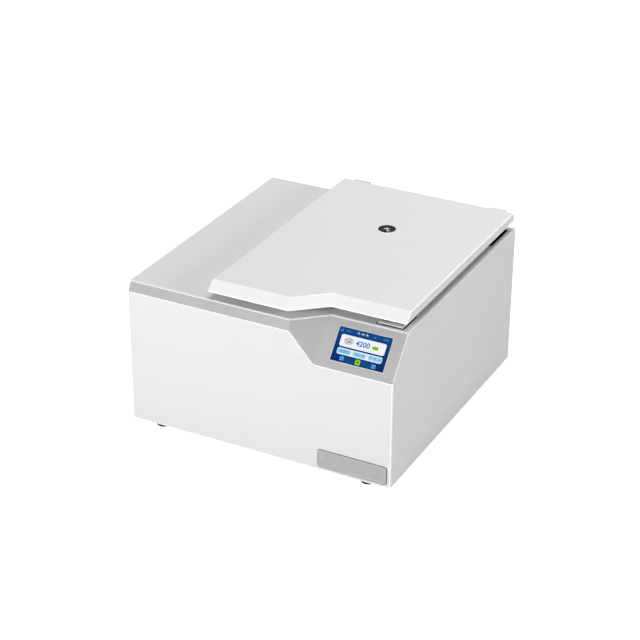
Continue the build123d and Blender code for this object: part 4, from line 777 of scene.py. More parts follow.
class Solid:
    """A mesh that grows shape by shape, in the frame of a face or of the model."""

    def __init__(self, place: Matrix | None = None) -> None:
        self.bm = bmesh.new()
        self.place = place or Matrix.Identity(4)

    def vert(self, x: float, y: float, z: float) -> bmesh.types.BMVert:
        """Adds a vertex given in the solid's frame.

        Args:
            x: its place to the right.
            y: its place upwards.
            z: its place outwards.

        Returns:
            The vertex.
        """
        return self.bm.verts.new(self.place @ Vector((x, y, z)))

    def skin(self, rings: list, capped: bool = True) -> "Solid":
        """Joins closed rings of vertices with faces.

        Args:
            rings: the rings, each as long as the others.
            capped: whether the first and last are closed with a face.

        Returns:
            This solid.
        """
        for first, second in zip(rings, rings[1:]):
            for index, corner in enumerate(first):
                following = (index + 1) % len(first)
                self.bm.faces.new((corner, first[following], second[following], second[index]))
        if capped:
            self.bm.faces.new(list(reversed(rings[0])))
            self.bm.faces.new(rings[-1])
        return self

    def slab(self, outline: list[Point], low: float, high: float, lip: float = 0.0) -> "Solid":
        """Adds an outline raised from low to high.

        Args:
            outline: its points, anticlockwise.
            low: the lower level.
            high: the upper level.
            lip: how far the upper edge is rounded.

        Returns:
            This solid.
        """
        levels = [(low, 0.0), (high, 0.0)]
        if lip > 0:
            levels = [(low, 0.0), (high - lip, 0.0), (high - 0.3 * lip, 0.3 * lip), (high, lip)]
        return self.skin([[self.vert(x, y, z) for x, y in drawn_in(outline, inset)] for z, inset in levels])

    def turned(self, profile: list[Point], centre: Point, steps: int = 96) -> "Solid":
        """Adds a closed profile turned about the Z axis.

        Args:
            profile: its points, each a radius and a height.
            centre: where the axis stands.
            steps: how many sides it has.

        Returns:
            This solid.
        """
        rings = []
        for index in range(steps):
            across, up = math.cos(math.tau * index / steps), math.sin(math.tau * index / steps)
            rings.append([self.vert(centre[0] + r * across, centre[1] + r * up, z) for r, z in profile])
        return self.skin(rings + [rings[0]], capped=False)

    def hoop(self, outer: list[Point], wall: float, low: float, high: float) -> "Solid":
        """Adds an upright hoop.

        Args:
            outer: its outline, anticlockwise.
            wall: its thickness.
            low: the lower level.
            high: the upper level.

        Returns:
            This solid.
        """
        inner = drawn_in(outer, wall)
        levels = ((outer, low), (outer, high), (inner, high), (inner, low))
        rings = [[self.vert(x, y, z) for x, y in points] for points, z in levels]
        return self.skin(rings + [rings[0]], capped=False)

    def lettering(
        self, text: str, size: float, middle: Point, low: float, high: float, turn: float = 0.0, bold: float = 0.0
    ) -> "Solid":
        """Adds numbers or signs raised from low to high.

        Args:
            text: what they say.
            size: how tall they are.
            middle: their centre.
            low: the lower level.
            high: the upper level.
            turn: their turn in the face, in degrees.
            bold: how far their strokes are widened on each side.

        Returns:
            This solid.
        """
        data = bpy.data.curves.new("lettering", "FONT")
        data.body = text
        data.size = size / CAP_HEIGHT
        data.align_x = "CENTER"
        data.align_y = "CENTER"
        data.extrude = (high - low) / 2
        data.offset = bold
        data.resolution_u = 3
        words = bpy.data.objects.new("lettering", data)
        mesh = bpy.data.meshes.new_from_object(words)
        spot = Matrix.Translation((middle[0], middle[1], (low + high) / 2))
        mesh.transform(self.place @ spot @ Matrix.Rotation(math.radians(turn), 4, "Z"))
        self.bm.from_mesh(mesh)
        bpy.data.objects.remove(words)
        bpy.data.curves.remove(data)
        bpy.data.meshes.remove(mesh)
        return self

    def mesh(self, name: str) -> bpy.types.Mesh:
        """Ends the solid.

        Args:
            name: the mesh's name.

        Returns:
            Its mesh, with its normals outwards.
        """
        bmesh.ops.remove_doubles(self.bm, verts=self.bm.verts, dist=1e-7)
        bmesh.ops.recalc_face_normals(self.bm, faces=self.bm.faces)
        mesh = bpy.data.meshes.new(name)
        self.bm.to_mesh(mesh)
        self.bm.free()
        mesh.shade_smooth()
        mesh.set_sharp_from_angle(angle=SMOOTH_ANGLE)
        return mesh


@dataclass(frozen=True)
class Kit:
    """How a piece belongs to the model.

    Args:
        body: the body that it rides on.
        slot: the record's material slot that it takes its finish from; it is not used.
        finish: its finish.
    """

    body: str
    slot: str
    finish: Finish

    def add(self, name: str, shape: Solid | bpy.types.Mesh) -> bpy.types.Object:
        """Puts a piece into the scene.

        Args:
            name: the piece's name.
            shape: its solid or its mesh.

        Returns:
            The piece's object.
        """
        mesh = shape.mesh(name) if isinstance(shape, Solid) else shape
        mesh.materials.clear()
        mesh.materials.append(PAINTBOX.material(self.finish))
        piece = bpy.data.objects.new(name, mesh)
        bpy.context.scene.collection.objects.link(piece)
        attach(piece, self.body)
        return piece


FACING = 0.97
UPRIGHT = 0.95
LEVEL = 0.1 * MM


def face_frame(node_name: str, toward: tuple[float, float, float]) -> tuple[Matrix, float, float]:
    """Finds a node's outermost flat face in a direction.

    Args:
        node_name: the node.
        toward: roughly where the face looks.

    Returns:
        A matrix with its origin in the middle of the face, X to the right, Y up the face and Z out
        of it, and then the face's width and height.
    """
    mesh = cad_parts[node_name].data
    aim = Vector(toward).normalized()
    faces = [face for face in mesh.polygons if face.normal.dot(aim) > FACING]
    normal = sum((face.normal * face.area for face in faces), Vector()).normalized()
    top = max(face.center.dot(normal) for face in faces)
    level = [face for face in faces if top - face.center.dot(normal) < LEVEL]
    corners = [mesh.vertices[index].co for face in level for index in face.vertices]
    upright = Vector((0, 1, 0)) if abs(normal.z) > UPRIGHT else Vector((0, 0, 1))
    up = (upright - normal * upright.dot(normal)).normalized()
    right = up.cross(normal)
    across = [corner.dot(right) for corner in corners]
    along = [corner.dot(up) for corner in corners]
    middle = right * (min(across) + max(across)) / 2 + up * (min(along) + max(along)) / 2 + normal * top
    turned = Matrix((right, up, normal)).transposed().to_4x4()
    return Matrix.Translation(middle) @ turned, max(across) - min(across), max(along) - min(along)


# Repeats made by Geometry Nodes

class Layout(Enum):
    """How copies are laid out."""

    GRID = "grid"
    RING = "ring"


class Repeater:
    """Lays copies of one unit out on a grid or a ring, with Geometry Nodes."""

    EXTRAS = {
        Layout.GRID: (("Width", "Float"), ("Height", "Float"), ("Columns", "Int"), ("Rows", "Int")),
        Layout.RING: (("Count", "Int"), ("Radius", "Float")),
    }

    def __init__(self) -> None:
        self.trees: dict[Layout, bpy.types.NodeTree] = {}

    def tree(self, layout: Layout) -> bpy.types.NodeTree:
        """Gives the node tree of a layout.

        Args:
            layout: the layout.

        Returns:
            Its tree, made at the first call.
        """
        if layout in self.trees:
            return self.trees[layout]
        tree = bpy.data.node_groups.new("repeat_" + layout.value, "GeometryNodeTree")
        labels = (("Geometry", "Geometry"), ("Unit", "Object"), ("Material", "Material")) + self.EXTRAS[layout]
        for label, kind in labels:
            tree.interface.new_socket(label, in_out="INPUT", socket_type="NodeSocket" + kind)
        tree.interface.new_socket("Geometry", in_out="OUTPUT", socket_type="NodeSocketGeometry")
        given, out = tree.nodes.new("NodeGroupInput"), tree.nodes.new("NodeGroupOutput")
        place = tree.nodes.new("GeometryNodeInstanceOnPoints")
        if layout is Layout.GRID:
            points = tree.nodes.new("GeometryNodeMeshGrid")
            for index, (label, _) in enumerate(self.EXTRAS[layout]):
                tree.links.new(given.outputs[label], points.inputs[index])
        else:
            points = tree.nodes.new("GeometryNodeMeshCircle")
            tree.links.new(given.outputs["Count"], points.inputs["Vertices"])
            tree.links.new(given.outputs["Radius"], points.inputs["Radius"])
            turn = tree.nodes.new("FunctionNodeAlignRotationToVector")
            turn.axis, turn.pivot_axis = "X", "Z"
            tree.links.new(tree.nodes.new("GeometryNodeInputPosition").outputs[0], turn.inputs["Vector"])
            tree.links.new(turn.outputs[0], place.inputs["Rotation"])
        unit = tree.nodes.new("GeometryNodeObjectInfo")
        real = tree.nodes.new("GeometryNodeRealizeInstances")
        paint = tree.nodes.new("GeometryNodeSetMaterial")
        for source, target in (
            (given.outputs["Unit"], unit.inputs["Object"]),
            (points.outputs[0], place.inputs["Points"]),
            (unit.outputs["Geometry"], place.inputs["Instance"]),
            (place.outputs[0], real.inputs[0]),
            (real.outputs[0], paint.inputs["Geometry"]),
            (given.outputs["Material"], paint.inputs["Material"]),
            (paint.outputs[0], out.inputs[0]),
        ):
            tree.links.new(source, target)
        self.trees[layout] = tree
        return tree

    def lay(
        self, layout: Layout, name: str, unit: Solid, kit: Kit, place: Matrix, **sizes: object
    ) -> bpy.types.Object:
        """Makes one piece out of copies of a unit.

        Args:
            layout: how they are laid out.
            name: the piece's name.
            unit: the unit, made round the origin.
            kit: how the piece belongs to the model.
            place: where the layout's centre goes.
            sizes: the layout's own inputs.

        Returns:
            The piece's object.
        """
        tree = self.tree(layout)
        single = bpy.data.objects.new(name + "_unit", unit.mesh(name + "_unit"))
        holder = bpy.data.objects.new(name + "_holder", bpy.data.meshes.new(name + "_holder"))
        bpy.context.scene.collection.objects.link(single)
        bpy.context.scene.collection.objects.link(holder)
        modifier = holder.modifiers.new("repeat", "NODES")
        modifier.node_group = tree
        values = {"Unit": single, "Material": PAINTBOX.material(kit.finish), **sizes}
        for item in tree.interface.items_tree:
            if item.in_out == "INPUT" and item.name in values:
                modifier[item.identifier] = values[item.name]
        bpy.context.view_layer.update()
        depsgraph = bpy.context.evaluated_depsgraph_get()
        mesh = bpy.data.meshes.new_from_object(holder.evaluated_get(depsgraph), depsgraph=depsgraph)
        holder.modifiers.clear()
        bpy.data.objects.remove(holder)
        bpy.data.objects.remove(single)
        mesh.name = name
        mesh.transform(place)
        mesh.set_sharp_from_angle(angle=SMOOTH_ANGLE)
        return kit.add(name, mesh)


REPEATER = Repeater()


# Display

def lit(name: str, color: tuple[float, float, float], other: tuple[float, float, float], glow: float) -> Finish:
    """Makes a finish for a part of the lit picture.

    Args:
        name: its name.
        color: its colour at the lower edge of the screen.
        other: its colour at the upper edge.
        glow: the strength of its light.

    Returns:
        The finish.
    """
    return Finish(name, Skin.LIT, color, other, 0.25, grain=0.00029, axis=SCREEN_SPAN, glow=glow, shine=0.12)


SCREEN_SPAN = (257.2 * MM, 311.0 * MM, 0.0)
SCREEN_DEEP = lit("screen_deep", (0.0012, 0.013, 0.080), (0.002, 0.027, 0.125), 0.75)
SCREEN_TOP = lit("screen_top", (0.002, 0.030, 0.135), (0.003, 0.040, 0.155), 0.75)
SCREEN_FOOT = lit("screen_foot", (0.002, 0.036, 0.120), (0.004, 0.05, 0.14), 0.7)
SCREEN_CARD = lit("screen_card", (0.56, 0.60, 0.67), (0.60, 0.62, 0.67), 0.55)
SCREEN_PALE = lit("screen_pale", (0.25, 0.48, 0.61), (0.28, 0.50, 0.62), 0.5)
SCREEN_SKY = lit("screen_sky", (0.060, 0.29, 0.60), (0.075, 0.25, 0.50), 0.55)
SCREEN_INK = lit("screen_ink", (0.012, 0.12, 0.36), (0.016, 0.14, 0.40), 0.25)
SCREEN_BLUE = lit("screen_blue", (0.05, 0.24, 0.46), (0.06, 0.26, 0.48), 0.25)
SCREEN_GREEN = lit("screen_green", (0.21, 0.46, 0.003), (0.24, 0.44, 0.004), 0.5)
SCREEN_LEAF = lit("screen_leaf", (0.035, 0.15, 0.002), (0.045, 0.14, 0.002), 0.3)
SCREEN_GREY = lit("screen_grey", (0.52, 0.52, 0.54), (0.56, 0.56, 0.57), 0.2)
SCREEN_SHADE = lit("screen_shade", (0.36, 0.35, 0.35), (0.40, 0.39, 0.39), 0.12)
SCREEN_DARK = lit("screen_dark", (0.05, 0.05, 0.055), (0.07, 0.07, 0.075), 0.05)


@dataclass(frozen=True)
class Mark:
    """One mark on the display: a rounded field, a dot or some numbers.

    Args:
        u: its centre, as a share of the picture's width from the left.
        v: its centre, as a share of the picture's height from the top.
        wide: its width.
        high: its height.
        radius: its corner radius, or nothing for a dot.
        text: the numbers or signs, where it is lettering.
        bold: how far lettering is widened.
    """

    u: float
    v: float
    wide: float
    high: float
    radius: float | None = None
    text: str = ""
    bold: float = 0.0

    def draw(self, solid: Solid, picture: Point, low: float, high: float) -> None:
        """Adds the mark to a solid.

        Args:
            solid: the solid.
            picture: the picture's width and height.
            low: the lower level.
            high: the upper level.
        """
        spot = ((self.u - 0.5) * picture[0], (0.5 - self.v) * picture[1])
        if self.text:
            solid.lettering(self.text, self.high, spot, low, high, bold=self.bold)
        elif self.radius is None:
            solid.slab(oval(self.wide, self.high, spot), low, high)
        else:
            solid.slab(rounded_box(self.wide, self.high, self.radius, spot), low, high)


def cups(wide: float, reach: Point) -> tuple[Mark, ...]:
    """Makes the four buckets of the rotor sign.

    Args:
        wide: a bucket's size.
        reach: how far they stand from the middle, across and up.

    Returns:
        The marks.
    """
    angles = [math.radians(angle) for angle in (25, 115, 205, 295)]
    return tuple(
        Mark(0.235 + reach[0] * math.cos(a), 0.368 + reach[1] * math.sin(a), wide, wide * 0.8) for a in angles
    )


@dataclass(frozen=True)
class Display:
    """The lit picture on the console's glass, in layers.

    Args:
        margin: how far the picture stays from the edge of the glass.
        layer: the thickness of one layer.
    """

    margin: float = 0.5 * MM
    layer: float = 0.04 * MM

    def layers(self, wide: float, high: float) -> tuple[tuple[str, Finish, tuple[Mark, ...]], ...]:
        """Lists the layers from the lowest up.

        Args:
            wide: the picture's width.
            high: the picture's height.

        Returns:
            For each layer a name, a finish and its marks.
        """
        thirds = (0.205, 0.50, 0.795)
        bars = tuple(
            Mark(0.035 + 0.016 * i, 0.108 - 0.012 * i, 1.1 * MM, (1.6 + 1.6 * i) * MM, 0.3 * MM) for i in range(3)
        )
        return (
            ("screen_field", SCREEN_DEEP, (Mark(0.5, 0.5, wide, high, 0.5 * MM),)),
            ("screen_top_bar", SCREEN_TOP, (Mark(0.5, 0.085, wide * 0.985, high * 0.135, 1.0 * MM),)),
            ("screen_foot_bar", SCREEN_FOOT, (Mark(0.505, 0.902, wide * 0.60, high * 0.15, 2.2 * MM),)),
            ("screen_card", SCREEN_CARD, (
                Mark(0.503, 0.372, wide * 0.855, high * 0.35, 3.8 * MM),
                Mark(0.50, 0.69, wide * 0.86, high * 0.19, 4.4 * MM),
            )),
            ("screen_pads", SCREEN_PALE, tuple(
                Mark(u, 0.69, wide * 0.268, high * 0.145, 4.2 * MM) for u in thirds
            )),
            ("screen_marks", SCREEN_SKY, bars + (
                Mark(0.175, 0.085, 0, 3.4 * MM, text="21.5"),
                Mark(0.68, 0.085, 0, 3.2 * MM, text="(4)"),
                Mark(0.885, 0.085, 0, 3.8 * MM, text="12:45", bold=0.1 * MM),
                Mark(0.20, 0.895, 8.4 * MM, 8.0 * MM, 1.2 * MM),
                Mark(0.81, 0.905, 8.4 * MM, 8.0 * MM, 1.2 * MM),
            )),
            ("screen_title", SCREEN_CARD, (
                Mark(0.45, 0.082, 0, 3.4 * MM, text="01 - 24 - 36", bold=0.08 * MM),
            )),
            ("screen_rotor", SCREEN_GREY, (Mark(0.235, 0.368, 21.0 * MM, 15.0 * MM),)),
            ("screen_green", SCREEN_GREEN, (
                Mark(0.742, 0.392, 12.4 * MM, 7.2 * MM, 1.4 * MM),
                Mark(0.508, 0.902, 10.4 * MM, 10.4 * MM, 2.2 * MM),
            )),
            ("screen_shades", SCREEN_SHADE, cups(3.8 * MM, (0.056, 0.062))),
            ("screen_hub", SCREEN_DARK, (Mark(0.245, 0.385, 4.4 * MM, 2.6 * MM),)),
            ("screen_numbers", SCREEN_INK, (
                Mark(0.505, 0.378, 0, 10.5 * MM, text="4200", bold=0.26 * MM),
                Mark(0.20, 0.895, 3.0 * MM, 3.0 * MM, 0.5 * MM),
                Mark(0.81, 0.905, 5.0 * MM, 1.0 * MM, 0.3 * MM),
                Mark(0.81, 0.935, 5.0 * MM, 1.0 * MM, 0.3 * MM),
                Mark(0.81, 0.875, 5.0 * MM, 1.0 * MM, 0.3 * MM),
            )),
            ("screen_values", SCREEN_BLUE, (
                Mark(thirds[0], 0.69, 0, 5.4 * MM, text="10:00:0", bold=0.2 * MM),
                Mark(thirds[1], 0.69, 0, 5.4 * MM, text="4.0 / 8", bold=0.2 * MM),
                Mark(thirds[2], 0.69, 0, 5.4 * MM, text="9 / 9 / 6", bold=0.2 * MM),
            )),
            ("screen_green_signs", SCREEN_LEAF, (
                Mark(0.742, 0.392, 0, 4.6 * MM, text="x 10", bold=0.15 * MM),
                Mark(0.508, 0.902, 4.2 * MM, 4.2 * MM, 0.6 * MM),
            )),
        )

    def build(self) -> None:
        """Makes the picture, each layer just above the last."""
        place, wide, high = face_frame("touch_display", (0.0, -0.76, 0.65))
        picture = (wide - 2 * self.margin, high - 2 * self.margin)
        for index, (name, finish, marks) in enumerate(self.layers(*picture)):
            solid = Solid(place)
            for mark in marks:
                mark.draw(solid, picture, index * self.layer, (index + 1) * self.layer)
            Kit("root", "screen_glass", finish).add(name, solid)


# Lid lock

MAT = Finish("lock_mat", Skin.RUBBER, (0.14, 0.14, 0.145), (0.40, 0.40, 0.40), 0.6, grain=0.0022, relief=0.00006)


@dataclass(frozen=True)
class LockMat:
    """The ribbed mat behind the plain front strip of the lock plate, and the black seal round its pad, a
    near-black frame that is partly a painted shadow in the gap round the plate.

    Args:
        seal: how far the seal stands out round the pad, and its height on the deck.
        tuck: how far the seal goes in under the pad.
        strip: the width of the plain front strip.
        side: the width left plain at the other sides.
        rise: how far the ribs stand above the plate.
        base: the mat's own share of that.
        ribs: how many ribs run from front to back.
        slot: half the width and half the length kept clear round the hook's slot.
    """

    seal: Point = (1.4 * MM, 0.8 * MM)
    tuck: float = 0.3 * MM
    strip: float = 8.5 * MM
    side: float = 3.2 * MM
    rise: float = 0.6 * MM
    base: float = 0.4
    ribs: int = 15
    slot: Point = (6.5 * MM, 18.2 * MM)

    def build(self) -> None:
        """Makes the seal, the mat round the hook's slot, and its ribs."""
        near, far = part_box("lock_pad")
        around, rise = self.seal
        size = [far[axis] - near[axis] + 2 * around for axis in (0, 1)]
        outer = rounded_box(*size, 3.0 * MM, ((near[0] + far[0]) / 2, (near[1] + far[1]) / 2))
        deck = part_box("top_cover")[1][2]
        # The seal is a near-black frame round the pad: partly a real seal, partly a painted shadow in the gap
        # round the plate.
        seal = Solid().hoop(outer, around + self.tuck, deck, deck + rise)
        Kit("root", "dark_pad", DARK_PAD).add("lock_seal", seal)
        place, width, height = face_frame("lock_plate", (0.0, 0.0, 1.0))
        half, low, high = width / 2 - self.side, -height / 2 + self.strip, height / 2 - self.side
        clear_x, clear_y = self.slot
        kit = Kit("root", "dark_pad", MAT)
        mat, ribs = Solid(place), Solid(place)
        for x0, x1, y0, y1 in (
            (-half, half, low, -clear_y),
            (-half, half, clear_y, high),
            (-half, -clear_x, -clear_y, clear_y),
            (clear_x, half, -clear_y, clear_y),
        ):
            middle = ((x0 + x1) / 2, (y0 + y1) / 2)
            mat.slab(rounded_box(x1 - x0, y1 - y0, 0.2 * MM, middle), 0, self.rise * self.base)
        pitch = 2 * half / self.ribs
        for index in range(self.ribs):
            x = -half + pitch * (index + 0.5)
            blocked = abs(x) < clear_x + pitch / 2
            for y0, y1 in [(low, -clear_y), (clear_y, high)] if blocked else [(low, high)]:
                outline = rounded_box(pitch / 2, y1 - y0 - self.rise, 0.4 * MM, (x, (y0 + y1) / 2))
                ribs.slab(outline, self.rise * self.base, self.rise, 0.1 * MM)
        kit.add("lock_mat", mat)
        kit.add("lock_mat_ribs", ribs)


# Inspection port

PORT_SPOT = (88.5 * MM, 97.5 * MM, 0.0)
# The lens's dark colour is a painted shade for the unlit chamber under it, and its bright fans are painted
# reflections given off as light.
LENS = Finish(
    "port_lens", Skin.LENS, (0.012, 0.013, 0.014), (0.03, 0.03, 0.03), 0.04, axis=PORT_SPOT, painted_glint=1.0
)
# The white lip round the port ring glows faintly, though it is no lamp: a painted halo of light.
GLOWING_PORT_LIP = Finish("port_lip", Skin.PAINT, (0.92, 0.92, 0.925), (0.98, 0.98, 0.98), 0.25, coat=0.3, glow=0.2)


@dataclass(frozen=True)
class InspectionPort:
    """The domed lens over the port's window, the grips in its ring and the lip round it. The lens's dark colour
    is a painted shade for the unlit chamber under it, and its bright fans are painted reflections; the white lip
    glows, a painted halo.

    Args:
        lens_radius: the lens's radius.
        lens_rise: how far its middle stands above its edge.
        lens_depth: how far its edge lies below the top of the ring.
        lens_skirt: how far it goes down below its edge.
        grips: how many grips the ring has.
        grip: a grip's length, width and rise.
        grip_inset: how far the grips stand in from the ring's rim.
        lip: the width and height of the white, glowing lip round the ring.
    """

    lens_radius: float = 12.2 * MM
    lens_rise: float = 3.2 * MM
    lens_depth: float = 3.4 * MM
    lens_skirt: float = 0.5 * MM
    grips: int = 24
    grip: tuple[float, float, float] = (2.4 * MM, 1.5 * MM, 0.3 * MM)
    grip_inset: float = 4.4 * MM
    lip: Point = (2.2 * MM, 0.5 * MM)

    def build(self) -> None:
        """Makes the lens, the grips and the lip."""
        low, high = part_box("port_bezel")
        centre = ((low[0] + high[0]) / 2, (low[1] + high[1]) / 2)
        ring, top = (high[0] - low[0]) / 2, high[2]
        edge = top - self.lens_depth
        shares = [index / 10 for index in range(10, -1, -1)]
        dome = [(self.lens_radius * share, edge + self.lens_rise * (1 - share * share)) for share in shares]
        profile = [(0.0, edge - self.lens_skirt), (self.lens_radius, edge - self.lens_skirt)] + dome
        Kit("lid", "port_glass", LENS).add("port_lens", Solid().turned(profile, centre))
        long, wide, rise = self.grip
        grip = Solid().slab(rounded_box(long, wide, 0.4 * wide), -rise, rise, rise / 2)
        place = Matrix.Translation((*centre, top - 0.4 * MM))
        REPEATER.lay(
            Layout.RING, "port_ring_grips", grip, Kit("lid", "port_ring", PORT_RING), place,
            Count=self.grips, Radius=ring - self.grip_inset,
        )
        lid_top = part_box("lid_shell")[1][2]
        wide, rise = self.lip
        section = ((0.0, 0.0), (1.0, 0.0), (0.7, 0.8), (0.2, 1.0), (0.0, 1.0))
        lip = Solid().turned([(ring + wide * r, lid_top + rise * z) for r, z in section], centre)
        Kit("lid", "lid_white", GLOWING_PORT_LIP).add("port_lip", lip)


# Trim in the strut slots, which also paints their shade

# Near-black, darker than the other black mouldings: a real edging, and a painted shade for the dark down in the
# slots.
SLOT_TRIM_AND_SHADE = Finish(
    "slot_trim_and_shade", Skin.MOULDED, (0.004, 0.004, 0.004), (0.008, 0.008, 0.008), 0.7, 0.0, 0.0007, 0.00002, 0.1,
    shine=0.2,
)


@dataclass(frozen=True)
class SlotTrim:
    """The black edging pushed into the deck's two strut slots, near-black so that it also paints the shade down
    in them.

    Args:
        slot: a slot's width and length.
        back: how far a slot's back end stays from the casing's back.
        edge_inset: how far a slot's middle stays from the casing's right side.
        wall: the edging's thickness.
        levels: its lower edge, and its upper edge below the deck's top.
    """

    slot: Point = (20.0 * MM, 98.0 * MM)
    back: float = 14.0 * MM
    edge_inset: float = 21.0 * MM
    wall: float = 0.7 * MM
    levels: Point = (22.0 * MM, 0.1 * MM)

    def build(self) -> None:
        """Makes the edging of both slots."""
        _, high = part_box("top_cover")
        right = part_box("right_side_panel")[1][0] - self.edge_inset
        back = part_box("rear_panel")[1][1] - self.back
        trim = Solid()
        for x in (right, 2 * SPINDLE[0] - right):
            centre = (x, back - self.slot[1] / 2)
            outer = rounded_box(*self.slot, self.slot[0] / 2, centre)
            trim.hoop(outer, self.wall, high[2] - self.levels[0], high[2] - self.levels[1])
        Kit("root", "black_plastic", SLOT_TRIM_AND_SHADE).add("strut_slot_trim", trim)


# Badge place

BADGE_SEAL = Finish("badge_seal", Skin.RUBBER, (0.06, 0.06, 0.065), (0.12, 0.12, 0.12), 0.6, shine=0.2)


@dataclass(frozen=True)
class BarePlate:
    """The bare plate on the front panel: a bevelled edge, a raised rim and a sunk field.

    Args:
        corner: its corner radius.
        edge: the width and depth of the bevel round it.
        rim: the width of the rim.
        sunk: how far the field lies below the rim.
        seal: how far the dark seal stands out round it.
        seal_lift: how far the seal's back stays off the panel.
    """

    corner: float = 6.0 * MM
    edge: Point = (0.9 * MM, 0.9 * MM)
    rim: float = 1.5 * MM
    sunk: float = 0.45 * MM
    seal: float = 0.7 * MM
    seal_lift: float = 0.2 * MM

    def build(self) -> None:
        """Makes the plate in the place of the plain one."""
        low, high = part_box("badge_plate")
        place, _, _ = face_frame("badge_plate", (0.0, -1.0, 0.0))
        thick = high[1] - low[1]
        outline = rounded_box(high[0] - low[0], high[2] - low[2], self.corner)
        bevel_in, bevel_deep = self.edge
        levels = (
            (-thick, 0.0),
            (-bevel_deep, 0.0),
            (-0.2 * MM, bevel_in * 0.7),
            (0.0, bevel_in),
            (0.0, bevel_in + self.rim),
            (-self.sunk, bevel_in + self.rim + self.sunk),
        )
        plate = Solid(place)
        plate.skin([[plate.vert(x, y, z) for x, y in drawn_in(outline, inset)] for z, inset in levels])
        piece = Kit("root", "badge_satin", BADGE).add("badge_rimmed", plate)
        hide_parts("badge_plate")
        around = drawn_in(outline, -self.seal)
        seal = Solid(place).hoop(around, self.seal * 1.2, self.seal_lift - thick, -0.3 * thick)
        Kit("root", "black_plastic", BADGE_SEAL).add("badge_seal", seal)


# Vents, switch and rotor marks

@dataclass(frozen=True)
class VentLips:
    """Lips pressed inwards along the slots of a vented panel.

    Args:
        node: the panel.
        toward: where the panel looks.
        centre: the middle of the slots, in the model's frame.
        slot: a slot's length and height.
        pitch: the distance between columns and between rows.
        count: how many columns and rows there are.
        reach: how far a lip stands in behind the panel.
        wall: the lip's thickness.
        overlap: how far a lip runs past the ends of its slot, both together.
    """

    node: str
    toward: tuple[float, float, float]
    centre: tuple[float, float, float]
    slot: Point
    pitch: Point
    count: tuple[int, int]
    reach: float = 5.0 * MM
    wall: float = 0.8 * MM
    overlap: float = 2.0 * MM

    def unit(self) -> Solid:
        """Makes one lip along X, curling in from a slot's upper edge.

        Returns:
            The lip.
        """
        solid = Solid()
        length, rise = self.slot[0] + self.overlap, self.slot[1] / 2 + self.wall / 4
        curl = ((0.0, rise), (-0.35, rise * 0.9), (-0.75, rise * 0.35), (-1.0, -rise * 0.75))
        rings = []
        for step in range(13):
            share = step / 12
            swell = min(1.0, 2.4 * math.sin(math.pi * share) + 0.02)
            outer = [(depth * self.reach * swell, up) for depth, up in curl]
            inner = [(depth - self.wall * swell, up + self.wall / 2) for depth, up in reversed(outer)]
            rings.append([solid.vert((share - 0.5) * length, up, depth) for depth, up in outer + inner])
        return solid.skin(rings)

    def build(self) -> None:
        """Makes the panel's lips."""
        place, _, _ = face_frame(self.node, self.toward)
        spot = place.inverted() @ Vector(self.centre)
        columns, rows = self.count
        REPEATER.lay(
            Layout.GRID, self.node + "_lips", self.unit(), Kit("root", "panel_white", PANEL),
            place @ Matrix.Translation((spot.x, spot.y, -0.3 * MM)),
            Width=self.pitch[0] * (columns - 1), Height=self.pitch[1] * (rows - 1), Columns=columns, Rows=rows,
        )


SIGN_WHITE = Finish("sign_white", Skin.PAINT, (0.82, 0.82, 0.80), (0.9, 0.9, 0.9), 0.5, edge=0.2)
ENGRAVED = Finish("engraved_fill", Skin.PAINT, (0.03, 0.03, 0.032), (0.2, 0.2, 0.2), 0.5, edge=0.2)


@dataclass(frozen=True)
class Signs:
    """The signs on the mains rocker and the bucket numbers on the rotor.

    Args:
        rise: how far they stand above the surface.
        rotor_reach: how far the numbers stand from the rotor's axis.
        rotor_size: how tall the numbers are.
        rocker_size: how tall the rocker's signs are.
    """

    rise: float = 0.08 * MM
    rotor_reach: float = 35.0 * MM
    rotor_size: float = 9.0 * MM
    rocker_size: float = 4.5 * MM

    def build(self) -> None:
        """Makes the signs."""
        for text, tilt in (("I", 0.45), ("O", -0.25)):
            place, _, _ = face_frame("switch_rocker", (0.0, 1.0, tilt))
            name = "rocker_on" if text == "I" else "rocker_off"
            sign = Solid(place).lettering(text, self.rocker_size, (0.0, 0.0), 0.0, self.rise)
            Kit("rocker", "rocker_black", SIGN_WHITE).add(name, sign)
        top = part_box("rotor_head")[1][2]
        numbers = Solid(Matrix.Translation((SPINDLE[0], SPINDLE[1], top)))
        for index in range(4):
            angle = math.radians(90 * index)
            spot = (self.rotor_reach * math.cos(angle), self.rotor_reach * math.sin(angle))
            numbers.lettering(str(index + 1), self.rotor_size, spot, 0.0, self.rise, 90 * index - 90)
        Kit("rotor", "rotor_alloy", ENGRAVED).add("rotor_numbers", numbers)


